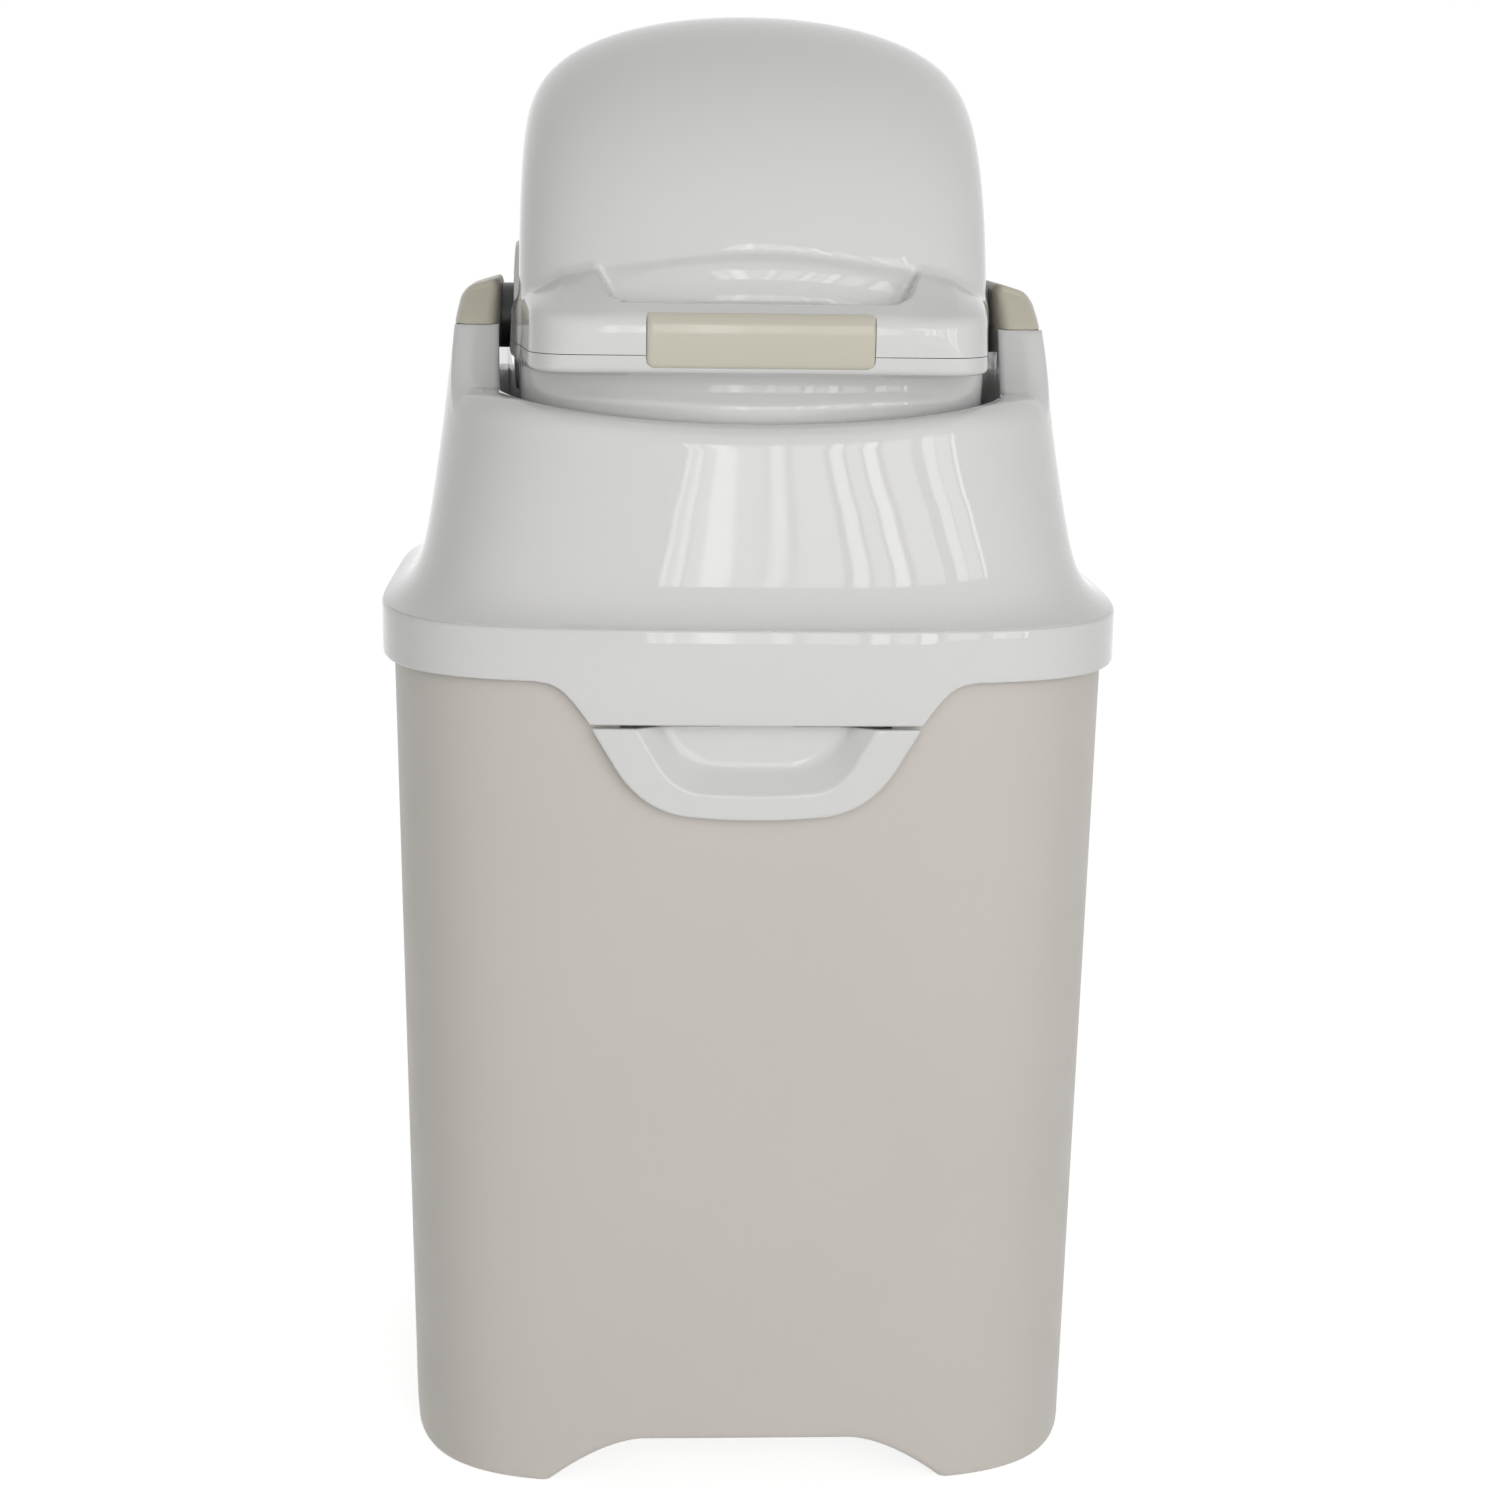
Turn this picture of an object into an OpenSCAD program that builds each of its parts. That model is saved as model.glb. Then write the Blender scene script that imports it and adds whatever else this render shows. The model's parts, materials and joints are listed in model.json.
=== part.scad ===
// Nappy bin with a rotary drum, in millimetres.
// The front is -Y, +Z is up, and the origin is on the floor under the drum's pivot.
// The body stands on four corner feet. The head lifts on a hinge at the back and is held by a push tab
// at the front. The drum turns in the head's two arms and carries a cup for one nappy.

/* [Body] */
// Side of the square that the body fills at its rim
body_top_w = 312.4; // [308:0.2:315]
// How much narrower the body is at the floor than at its rim
body_taper = 12.4; // [0:0.2:30]
// Height of the body's rim above the floor
body_rim_z = 370; // [367:1:371]
// Squareness of the body's plan, where 2 is a circle
body_square = 4.4; // [3.6:0.1:6]
// Wall of the body
body_wall = 3; // [2.4:0.2:3.6]
// Height of the arch between two feet
arch_h = 21; // [14:1:24]
// Width of the arch on the floor
arch_w = 176; // [140:2:190]
// Width of the arch's level top
arch_top_w = 90; // [60:2:120]
// Thickness of the floor panel
floor_t = 3; // [2.4:0.2:4]

/* [Head] */
// Space between the body's rim and the inside of the band
band_gap = 1.8; // [1.5:0.1:3]
// How far the band hangs below the body's rim
band_drop = 11; // [8:0.5:13]
// Height of the band
band_h = 22; // [19:1:24]
// Wall of the head's shell
head_wall = 3; // [2.4:0.2:3.4]
// How far an arm stands in from the band at the pivot
arm_in = 31.3; // [28:0.1:36]
// How far the collar stands in from the band at the mouth's front
lip_in_d = 19.5; // [15:0.5:23]
// Lean of the collar's sides, as run over rise
collar_lean = 0.13; // [0.09:0.01:0.15]
// Height over which the collar flares out to the band
flare_h = 8; // [6:0.5:11]
// How far the apron hangs below the band
apron_h = 17.7; // [14:0.1:20]

/* [Mouth] */
// Thickness of an arm at the pivot
arm_t = 19.7; // [16:0.1:21]
// Thickness of the collar at the front lip
lip_t = 12; // [10:0.5:14]
// Drop from the pivot to the lip at the front
lip_drop = 37; // [34:1:40]
// Rise of the lip from the front to the corner
lip_rise = 10; // [6:1:13]
// Radius of the lip's outer rounding
lip_r = 12; // [8:1:13]
// Drop from the pivot to the lower end of the mouth's skirt
skirt_drop = 62; // [60:1:66]

/* [Drum] */
// How far the drum's lowest point dips below the body's rim
drum_dip = 3; // [0:0.5:6]
// How far the drum is larger than the mouth's depth at the pivot
drum_over = 2.5; // [0:0.5:3.5]
// Space between the drum's end and an arm
cheek_gap = 9; // [4.8:0.1:10]
// How much nearer the pivot the drum's shell is at its ends than in its middle
drum_crown = 5.4; // [0:0.2:7]
// Wall of the drum's shells
drum_wall = 3; // [2.4:0.2:3.6]
// Drop from the pivot to the joint of the two shells
split_drop = 8; // [6:0.5:10]
// Radius of the cup's bore
cup_r = 75; // [60:1:76]
// Height of the cup's floor above the pivot
cup_rise = 60; // [40:1:66]
// Wall of the cup
cup_wall = 2; // [1.6:0.2:2.4]

/* [Handle] */
// How far the handle's end stands in from the drum's end
handle_in = 2.5; // [2:0.5:10]
// Height of the handle
handle_h = 31; // [26:1:34]
// How far the handle's front stands out from the drum
handle_out = 23; // [18:0.5:24]
// Thickness of the bar in front of the finger gap
bar_t = 10.5; // [9:0.5:11]
// Width of the finger gap behind the bar
gap_w = 110; // [96:1:116]
// Length of the soft grip
grip_w = 92; // [70:1:96]
// Height of the soft grip
grip_h = 26.6; // [20:0.2:28]

/* [Pivot] */
// Radius of the axle stubs
axle_r = 8; // [6:0.5:9]
// Outer radius of the bushes
bush_r = 12; // [11:0.5:13]
// Height of the arm caps above their joint
cap_h = 20; // [18:0.5:24]

/* [Catch and hinge] */
// Width of the push tab at its upper edge
tab_w = 136; // [120:1:140]
// Height of the push tab
tab_h = 38.5; // [34:0.5:40]
// Width of the finger dish in the tab
dish_w = 99; // [80:1:104]
// Radius of the tab's pin
tab_pin_r = 1.9; // [1.5:0.1:2.2]
// Radius of the hinge pin at the back
hinge_pin_r = 2; // [1.6:0.1:2.4]
// Radius of the hinge knuckles
knuckle_r = 5; // [4.4:0.1:5]

/* [Hidden] */

$fn = 64;
far = 400;           // longer than any cut needs
eps = 0.01;
run_gap = 0.05;      // radial clearance of a turning fit
part_gap = 0.3;      // gap between pieces that move past each other
seat_gap = 0.2;      // gap of a push fit
plan_steps = 96;     // columns around the body and the head
white = "#dcdcdc";
taupe = "#b8b2a8";
dark_taupe = "#8f8a7c";
rubber_grey = "#4a4a4a";
steel = "#b9bcc0";

// Shared planes and radii
body_top = body_top_w / 2;
body_base = body_top - body_taper / 2;
band_half = body_top + band_gap + head_wall;
band_z = body_rim_z - band_drop;
apron_z = band_z - apron_h;
arm_half = band_half - arm_in;
lip_half = band_half - lip_in_d;
cheek_x = arm_half - arm_t;                // inner face of the arms
mouth_half = lip_half - lip_t;
drum_r = mouth_half + drum_over;          // largest radius of the drum about its pivot
drum_half_w = cheek_x - cheek_gap;
pivot_z = body_rim_z + drum_r - drum_dip;
handle_half = drum_half_w - handle_in;
handle_reach = drum_r + handle_out;
floor_under = arch_h + 3;
floor_top = floor_under + floor_t;
ring_flange = 2.4;                        // thickness of the bag ring's flange
seat_z = body_rim_z + ring_flange;        // where the head's gasket comes down
hinge_y = band_half + 1 - knuckle_r;      // the knuckles reach as far back as the tab reaches forward
hinge_z = band_z - 7;
tab_front = band_half + 1;
tab_top = apron_z - 1.3;
tab_bottom = tab_top - tab_h;
barrel_n = 2.1;                           // squareness of the drum along its width
barrel_m = 8.3;                           // squareness of the drum across its radius
joint_z = pivot_z - 2;                    // joint between an arm and its cap

function plan_r(a, b, n, t) = pow(pow(abs(cos(t)) / a, n) + pow(abs(sin(t)) / b, n), -1 / n);
function plan_ring(a, b, n, steps = plan_steps) =
    [for (i = [0:steps - 1]) let (t = 45 + 360 * i / steps) plan_r(a, b, n, t) * [cos(t), sin(t)]];
// The same outline with its points spread evenly round a long narrow shape
function even_power(v, n) = sign(v) * pow(abs(v), 2 / n);
function long_ring(a, b, n, steps) =
    [for (i = [0:steps - 1]) let (t = 360 * (i + 0.5) / steps)
        [a * even_power(cos(t), n), b * even_power(sin(t), n)]];
function smooth(s) = let (c = min(1, max(0, s))) c * c * (3 - 2 * c);
function body_half(z) = body_base + (body_top - body_base) * z / body_rim_z;
// How far in front of the pivot the body's face stands at a place across it, behind a given wall
function front_line(x, z, wall = 0) = let (half = body_half(z) - wall)
    half * pow(1 - pow(abs(x) / half, body_square), 1 / body_square);
function at_height(ring, z) = [for (p = ring) [p[0], p[1], z]];
// Corner points of a rectangle with rounded corners, centred on the origin
function round_rect(w, h, r, steps = 6) =
    [for (c = [[1, 1, 0], [-1, 1, 90], [-1, -1, 180], [1, -1, 270]]) for (i = [0:steps])
        let (t = c[2] + 90 * i / steps)
        [c[0] * (w / 2 - r) + r * cos(t), c[1] * (h / 2 - r) + r * sin(t)]];

// Closed surface through rings of equal length, with a flat lid on the first and the last
module skin(rings) {
    n = len(rings[0]);
    m = len(rings);
    polyhedron(
        points = [for (ring = rings) for (p = ring) p],
        faces = concat(
            [[for (i = [0:n - 1]) i]],
            [for (k = [0:m - 2]) for (i = [0:n - 1])
                let (j = (i + 1) % n) [k * n + i, (k + 1) * n + i, (k + 1) * n + j, k * n + j]],
            [[for (i = [0:n - 1]) m * n - 1 - i]]),
        convexity = 8);
}

// Closed surface swept round the bin from one profile for each column
module sweep_round(columns) {
    n = len(columns);
    m = len(columns[0]);
    polyhedron(
        points = [for (column = columns) for (p = column) p],
        faces = [for (i = [0:n - 1]) for (j = [0:m - 1])
            let (i2 = (i + 1) % n, j2 = (j + 1) % m)
            [i * m + j, i * m + j2, i2 * m + j2, i2 * m + j]],
        convexity = 10);
}

module plan_prism(a, b, n, z0, z1) {
    translate([0, 0, z0]) linear_extrude(z1 - z0) polygon(plan_ring(a, b, n));
}

module along_x(x0, x1) {
    translate([x0, 0, 0]) rotate([90, 0, 90]) linear_extrude(x1 - x0) children();
}

module along_y(y0, y1) {
    translate([0, y1, 0]) rotate([90, 0, 0]) linear_extrude(y1 - y0) children();
}

module rod_x(r, x0, x1, y, z) {
    translate([x0, y, z]) rotate([0, 90, 0]) cylinder(r = r, h = x1 - x0);
}

module rod_y(r, y0, y1, x, z) {
    translate([x, y1, z]) rotate([90, 0, 0]) cylinder(r = r, h = y1 - y0);
}

module rod_z(r, z0, z1, x, y) {
    translate([x, y, z0]) cylinder(r = r, h = z1 - z0);
}

module box(x0, x1, y0, y1, z0, z1) {
    translate([x0, y0, z0]) cube([x1 - x0, y1 - y0, z1 - z0]);
}

module screw(head_r, head_h, shank_r, length) {
    cylinder(r = head_r, h = head_h);
    translate([0, 0, head_h - eps]) cylinder(r = shank_r, h = length);
}

/* Body */
dish_half = dish_w / 2;
window_half = tab_w / 2 - 12;         // the housing and its screws follow the tab that hides them
window_knee = 24;                     // height over which the window narrows
window_z0 = tab_bottom + 2;
window_z1 = apron_z + 12;
pocket_half = 58;                     // half width of the hinge pocket in the back wall
pocket_z0 = hinge_z - 10;
pocket_z1 = hinge_z + 8;
pocket_y = hinge_y - 7.5;             // the pocket's floor

// Arch of one side, as an outline across the bin
module arch_outline() {
    half = arch_w / 2;
    top = arch_top_w / 2;
    side = [for (i = [0:8]) let (s = i / 8) [half - (half - top) * s, arch_h * (1 - pow(1 - s, 1.7))]];
    polygon(concat([[half, -5]], side, [for (i = [8:-1:0]) [-side[i][0], side[i][1]]], [[-half, -5]]));
}

module bin_walls() {
    edge = body_half(0);
    skirt = 4.5;
    inner = function(z) body_half(z) - body_wall;
    levels = [
        [edge - skirt, floor_under], [edge - skirt, 1], [edge - skirt + 1, 0], [edge - 2, 0],
        [edge - 0.7, 0.7], [edge, 2.5], [body_half(90), 90], [body_half(180), 180],
        [body_half(270), 270], [body_top - 0.4, body_rim_z - 0.8], [body_top - 1, body_rim_z],
        [body_top - body_wall + 0.3, body_rim_z], [inner(240), 240], [inner(120), 120],
        [inner(floor_top + 8), floor_top + 8], [inner(floor_top) - 2.5, floor_top + 2],
        [inner(floor_top) - 8, floor_top]];
    skin([for (v = levels) at_height(plan_ring(v[0], v[0], body_square), v[1])]);
}

// Window in the front wall, hidden behind the tab and the apron
module window_outline() {
    low = shield_half(tab_bottom) - 9;
    knee_z = window_z0 + window_knee;
    polygon([[low - 4, window_z0], [low, window_z0 + 4], [window_half, knee_z],
        [window_half, window_z1], [-window_half, window_z1], [-window_half, knee_z],
        [-low, window_z0 + 4], [-low + 4, window_z0]]);
}

module bin_shell() color(taupe) {
    difference() {
        union() {
            bin_walls();
            box(-pocket_half - 3, pocket_half + 3, pocket_y - 2.5, hinge_y - 3,
                pocket_z0 - 2.5, pocket_z1 + 2.5);
            for (x = housing_screw_x) for (z = housing_screw_z)
                rod_y(3.6, wall_y - 1.5, flange_y, x, z);
        }
        for (turn = [0, 90])
            rotate([0, 0, turn]) along_y(-far, far) arch_outline();
        along_y(-body_top - 5, -body_top + 12) window_outline();
        box(-pocket_half, pocket_half, pocket_y, body_top + 5, pocket_z0, pocket_z1);
        for (x = housing_screw_x) for (z = housing_screw_z)
            rod_y(1.5 + seat_gap / 2, -front_line(abs(x) + 2, z) + 1, -body_top + 8, x, z);
        for (x = bracket_screw_x)
            rod_y(1.5 + seat_gap / 2, pocket_y - 1.8, pocket_y + 1, x, bracket_screw_z);
    }
}

// Ring that holds the bag's edge, lying on the rim
module bag_ring() color(white) {
    outer = body_top - 1;
    bore = body_top - 27;
    skirt_out = body_half(body_rim_z - 16) - body_wall - 0.6;
    difference() {
        union() {
            plan_prism(outer, outer, body_square, body_rim_z, body_rim_z + ring_flange);
            plan_prism(skirt_out, skirt_out, body_square, body_rim_z - 15, body_rim_z + 1);
        }
        plan_prism(bore, bore, body_square, body_rim_z - 20, body_rim_z + 5);
        difference() {
            plan_prism(skirt_out - 2.2, skirt_out - 2.2, body_square, body_rim_z - 20, body_rim_z);
            plan_prism(bore + 2.2, bore + 2.2, body_square, body_rim_z - 20, body_rim_z + 1);
        }
        box(-pocket_half - 4, pocket_half + 4, pocket_y - 3, far, body_rim_z - 20, pocket_z1 + 3);
    }
}

/* Push tab and its housing */
pin_y = -(body_top - 8);              // tab pin, just inside the front wall
pin_z = tab_bottom + 4.5;
wall_y = -(body_half(window_z0) - body_wall);   // inner face of the front wall
house_half = window_half + 4;
flange_half = tab_w / 2;              // the flange ends where the tab ends
flange_t = 2.2;
flange_y = -front_line(flange_half, window_z0, body_wall) + seat_gap;
house_back = wall_y + 10.5;
housing_screw_x = [-house_half - 4, house_half + 4];
housing_screw_z = [window_z0 + 6, window_z1 - 8];
housing_screw_l = 4.2;
knuckle_in = 20;
knuckle_out = 34;
tab_knuckle_r = tab_pin_r + 1.5;

module latch_housing() color(white) {
    difference() {
        union() {
            box(-house_half, house_half, flange_y, house_back, window_z0 - 6, window_z1 + 0.5);
            box(-flange_half, flange_half, flange_y, flange_y + flange_t, window_z0 - 2, window_z1 - 2);
        }
        box(-house_half + 2.4, house_half - 2.4, wall_y - 1, house_back - 2, window_z0 - 4, window_z1 + 1);
        rod_x(tab_pin_r + seat_gap / 4, -house_half - 1, house_half + 1, pin_y, pin_z);
        for (x = housing_screw_x) for (z = housing_screw_z)
            rod_y(1.5 + seat_gap / 2, wall_y - 1, flange_y + flange_t + 1, x, z);
    }
}

module housing_screws() color(steel)
    for (x = housing_screw_x) for (z = housing_screw_z)
        translate([x, flange_y + flange_t + 2, z]) rotate([90, 0, 0]) screw(2.8, 2, 1.5, housing_screw_l);

module latch_pin() color(steel) rod_x(tab_pin_r, -house_half, house_half, pin_y, pin_z);

// Half width of the apron and the tab at a height below the band
slant = 0.27;                          // run over rise of the slanted sides
function shield_half(z) = tab_w / 2 - slant * 2 * (tab_top - z) * 0.9;

module tab_outline() {
    low = shield_half(tab_bottom);
    r = 14;
    corner = [for (i = [0:6]) let (t = -90 + 70 * i / 6)
        [low - r * 0.45 + r * cos(t) * 0.9 - 3, tab_bottom + r + r * sin(t)]];
    polygon(concat([for (p = corner) p], [[tab_w / 2, tab_top], [-tab_w / 2, tab_top]],
        [for (i = [6:-1:0]) [-corner[i][0], corner[i][1]]]));
}

// Solid of the finger dish, grown by a margin
module dish_form(grow) {
    low_z = tab_bottom + 12;
    hull() {
        box(-dish_half - grow, dish_half + grow, -tab_front - 3 + grow * 2, -tab_front + 9 + grow,
            tab_top - 0.5, tab_top + (grow > 0 ? 0 : 1));
        box(-dish_half + 9 - grow, dish_half - 9 + grow, -tab_front - 3 + grow * 2, -tab_front + 6.5 + grow,
            low_z + 9, low_z + 10);
        box(-dish_half + 15 - grow, dish_half - 15 + grow, -tab_front - 3 + grow * 2,
            -tab_front + 0.4 + grow, low_z - grow * 0.5, low_z + 1);
    }
}

stem_half = 15;
nose_z = apron_z + 6.3;
striker_y = body_top + 0.4;           // inner end of the striker's lip, as a distance in front of the pivot

module release_tab() color(white) {
    plate_back = -tab_front + 4.1;
    difference() {
        union() {
            intersection() {
                along_y(-tab_front, plate_back) tab_outline();
                plan_prism(tab_front, tab_front, body_square, tab_bottom - 1, tab_top + 1);
            }
            dish_form(2.2);
            for (side = [-1, 1]) {
                x0 = side > 0 ? knuckle_in : -knuckle_out;
                rod_x(tab_knuckle_r, x0, x0 + knuckle_out - knuckle_in, pin_y, pin_z);
                box(x0, x0 + knuckle_out - knuckle_in, plate_back - 1, pin_y, pin_z - 1.5, pin_z + 3);
            }
            box(-stem_half, stem_half, -tab_front + 8.4, -tab_front + 11.2, tab_top - 6, nose_z + 2.6);
            along_x(-stem_half, stem_half) polygon([
                [-striker_y + part_gap, nose_z], [-tab_front + 9, nose_z],
                [-tab_front + 9, nose_z + 2.6], [-striker_y + part_gap + 1.2, nose_z + 2.6],
                [-striker_y + part_gap, nose_z + 1.2]]);
        }
        dish_form(0);
        rod_x(tab_pin_r + run_gap, -knuckle_out - 1, knuckle_out + 1, pin_y, pin_z);
    }
}

// Torsion spring on the pin, one leg on the tab and one towards the housing's back
spring_r = 3.4;
spring_wire = 0.6;
module latch_spring() color(steel) {
    turns = 5;
    pitch = 1.6;
    per_turn = 14;
    start = -turns * pitch / 2;
    stem_back = -tab_front + 11.2;
    leg_up = [[start, stem_back + spring_wire + 0.05, tab_top - 3], [start, pin_y - spring_r, pin_z + 6]];
    coil = [for (i = [0:turns * per_turn]) let (t = 180 - 360 * i / per_turn)
        [start + pitch * i / per_turn, pin_y + spring_r * cos(t), pin_z + spring_r * sin(t)]];
    leg_back = [[start + turns * pitch + 0.3, pin_y - 0.6 * spring_r, pin_z + 5],
        [start + turns * pitch + 0.6, house_back - 2 - 0.9 - spring_wire, pin_z + 14]];
    path = concat([leg_up[0], leg_up[1]], coil, leg_back);
    wire_tube(path, spring_wire);
}

function unit(v) = v / norm(v);
// Tube of six sides along a list of points
module wire_tube(path, r, sides = 6) {
    n = len(path);
    tangents = [for (i = [0:n - 1]) unit(path[min(i + 1, n - 1)] - path[max(i - 1, 0)])];
    rings = [for (i = [0:n - 1])
        let (t = tangents[i], u = unit(cross(t, [1, 0.13, 0.07])), v = cross(t, u))
        [for (k = [0:sides - 1]) path[i] + r * (cos(360 * k / sides) * u + sin(360 * k / sides) * v)]];
    skin(rings);
}

/* Hinge at the back */
leaf_knuckle = 28;
knuckle_w = 21.5;
bracket_half = pocket_half - 4;
bracket_end = leaf_knuckle + 0.5 + knuckle_w;
bracket_knuckle = [[-bracket_end, -leaf_knuckle - 0.5], [leaf_knuckle + 0.5, bracket_end]];
bracket_t = 1.6;
bracket_screw_x = [-21, -7, 7, 21];
bracket_screw_z = pocket_z0 + 4;

module hinge_bracket() color(steel) {
    difference() {
        union() {
            box(-bracket_half, bracket_half, pocket_y, pocket_y + bracket_t, pocket_z0 + 0.5, pocket_z0 + 8);
            for (k = bracket_knuckle) {
                box(k[0], k[1], pocket_y, hinge_y, pocket_z0 + 3, hinge_z - 2.6);
                rod_x(knuckle_r, k[0], k[1], hinge_y, hinge_z);
            }
        }
        rod_x(hinge_pin_r + seat_gap / 4, -pocket_half, pocket_half, hinge_y, hinge_z);
        for (x = bracket_screw_x) rod_y(1.6, pocket_y - 1, hinge_y + knuckle_r, x, bracket_screw_z);
    }
}

module bracket_screws() color(steel)
    for (x = bracket_screw_x)
        translate([x, pocket_y + bracket_t + 1.6, bracket_screw_z]) rotate([90, 0, 0])
            screw(2.6, 1.6, 1.4, 3.2);

module hinge_pin() color(steel) rod_x(hinge_pin_r, -bracket_end - 1.5, bracket_end + 1.5, hinge_y, hinge_z);

// Leaf inside the band, with the head's knuckle
module hinge_leaf() color(steel) {
    leaf_in = body_top + 0.4;
    leaf_out = band_half - head_wall;
    difference() {
        union() {
            box(-leaf_knuckle, leaf_knuckle, leaf_in, leaf_out - 0.1, hinge_z, body_rim_z + 1);
            rod_x(knuckle_r, -leaf_knuckle, leaf_knuckle, hinge_y, hinge_z);
        }
        rod_x(hinge_pin_r + run_gap, -40, 40, hinge_y, hinge_z);
    }
}

/* Head */
band_top = band_z + band_h;
collar_n = 3.4;                        // squareness at the lip
mouth_n = 6;
lip_in = 3;                            // radius of the lip's inner rounding
lip_z = pivot_z - lip_drop;
arm_top_half = 22;                     // half depth of the arm's level top
arm_foot_half = 75;                    // half depth of the arm where it meets the lip
arm_top_z = joint_z + cap_h;

// Half size of the head at a height, from its size at the lip or the arm
function flare(top, top_z, z) = let (straight = top + collar_lean * (top_z - z),
    gap = band_half - top - collar_lean * (top_z - band_top))
    z <= band_top ? band_half : straight + gap * exp((band_top - z) / flare_h);
function head_x(z) = flare(arm_half, pivot_z, z);
function head_y(z) = flare(lip_half, lip_z - lip_r, z);
function head_n(z) = body_square + (collar_n - body_square) * smooth((z - band_top) / (lip_z - band_top));
function head_r(t, z) = plan_r(head_x(z), head_y(z), head_n(z), t);
function mouth_r(t) = plan_r(cheek_x, mouth_half, mouth_n, t);
// Height of the lip, rising into the arm at each side
function lip_top(t) = let (p = mouth_r(t) * [abs(cos(t)), abs(sin(t))],
    low = lip_z + lip_rise * pow(p[0] / cheek_x, 2),
    lift = 1 - smooth((p[1] - arm_top_half) / (arm_foot_half - arm_top_half)))
    low + (arm_top_z - low) * lift;

function head_column(t) = let (
    top = lip_top(t),
    bend_z = top - lip_r,
    bend_r = head_r(t, bend_z),
    inner_r = mouth_r(t),
    round_w = min(lip_r, bend_r - inner_r - lip_in - 0.1),
    start_z = band_top + 5.5 * flare_h,
    low = [for (v = [[0, -0.8], [0.8, 0], [band_h / 2, 0], [band_h - 1.6, 0], [band_h, -0.8]])
        [plan_r(band_half, band_half, body_square, t) + v[1], band_z + v[0]]],
    rise = [for (k = [0.17, 0.4, 0.7, 1, 1.45, 2.1, 3, 4.1, 5.5])
        let (z = band_top + k * flare_h) [head_r(t, z), z]],
    wall = [for (k = [1:4]) let (z = start_z + (bend_z - start_z) * k / 4) [head_r(t, z), z]],
    lip_out = [for (a = [18:18:90]) [bend_r - round_w * (1 - cos(a)), bend_z + lip_r * sin(a)]],
    lip_inner = [for (a = [0, 30, 60, 90]) [inner_r + lip_in * (1 - sin(a)), top - lip_in * (1 - cos(a))]],
    under_z = min(top, joint_z) - head_wall - 1,
    lift = max(0, under_z - bend_z) / lip_r,
    bent_r = bend_r - round_w * (1 - sqrt(max(0, 1 - lift * lift))),
    under_r = (under_z > bend_z ? bent_r : head_r(t, under_z)) - head_wall,
    skirt_z = pivot_z - skirt_drop,
    back = [for (p = [[inner_r, skirt_z], [inner_r + head_wall, skirt_z], [inner_r + head_wall, under_z],
        [under_r, under_z]]) p],
    down = [for (k = [5.5, 3, 1.45, 0.7, 0.17])
        let (z = band_top + k * flare_h) [head_r(t, z) - head_wall, z]],
    foot = [for (v = [band_h - 1, 0]) [plan_r(band_half, band_half, body_square, t) - head_wall, band_z + v]],
    face = concat(low, rise, wall, lip_out, lip_inner))
    [for (p = concat([for (q = face) [q[0], min(q[1], joint_z)]], back, down, foot))
        [p[0] * cos(t), p[0] * sin(t), p[1]]];

// Outline of the apron below the band
module apron_outline() {
    low = tab_w / 2;
    knee_z = apron_z + 11;
    knee = low + 7;
    end = low + 27;
    bend = [for (i = [0:6]) let (s = i / 6)
        [knee + (end - knee) * s, knee_z + (band_z + 0.6 - knee_z) * (1 - pow(1 - s, 2.2))]];
    right = concat([[low, apron_z]], bend, [[end, band_z + 5]]);
    polygon(concat(right, [for (i = [len(right) - 1:-1:0]) [-right[i][0], right[i][1]]]));
}

module head_shell() color(white) {
    difference() {
        union() {
            sweep_round([for (i = [0:plan_steps - 1]) head_column(360 * i / plan_steps)]);
            intersection() {
                along_y(-band_half - 5, -band_half + 30) apron_outline();
                difference() {
                    plan_prism(band_half - 0.05, band_half - 0.05, body_square, apron_z - 1, band_z + 8);
                    plan_prism(band_half - head_wall + 0.05, band_half - head_wall + 0.05, body_square,
                        apron_z - 2, band_z + 9);
                }
            }
        }
        rod_x(bush_r + seat_gap, -block_out - 0.5, block_out + 0.5, 0, pivot_z);
        for (x = cap_screw_x) for (y = cap_screw_y)
            rod_z(2.2, joint_z - 8, joint_z + 1, x, y);
    }
}

module latch_striker() color(white)
    along_x(-18, 18) polygon([
        [-band_half + head_wall - 0.05, apron_z + 1.6], [-striker_y - 0.6, apron_z + 2.6],
        [-striker_y, apron_z + 3.6], [-striker_y, nose_z - part_gap],
        [-band_half + head_wall - 0.05, nose_z - part_gap]]);

// Plate that closes the head's underside round the drum
base_ring_z = body_rim_z + 6;
module head_base_ring() color(white) {
    outer = band_half - head_wall;
    difference() {
        plan_prism(outer, outer, body_square, base_ring_z, base_ring_z + 3);
        plan_prism(cheek_x + 6, mouth_half - 2, 5, base_ring_z - 1, base_ring_z + 5);
    }
}

module rim_gasket() color(rubber_grey) {
    outer = body_top - 3;
    difference() {
        plan_prism(outer, outer, body_square, seat_z + part_gap, base_ring_z);
        plan_prism(outer - 9, outer - 9, body_square, seat_z - 1, base_ring_z + 1);
    }
}

/* Drum */
// Radius of the drum's outline at a place across its width, both made smaller by inset
function barrel_point(inset, a) = let (across = pow(abs(sin(a)), 2 / barrel_n))
    [(drum_r - inset - drum_crown * across * across) * pow(max(0, cos(a)), 2 / barrel_m),
        sign(a) * (drum_half_w - inset) * across];

module barrel(inset = 0) {
    translate([0, 0, pivot_z]) rotate([0, 90, 0])
        rotate_extrude($fn = 96) polygon([for (a = [-90:7.5:90]) barrel_point(inset, a)]);
}

// Plan line of the upright wall behind the handle
cove_y = drum_r - 4.2;
cove_drop = 17;
cove_x = drum_half_w - 18;
cove_power = 3.1;
function cove_line(x) = cove_y - cove_drop * pow(abs(x) / cove_x, cove_power);

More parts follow.
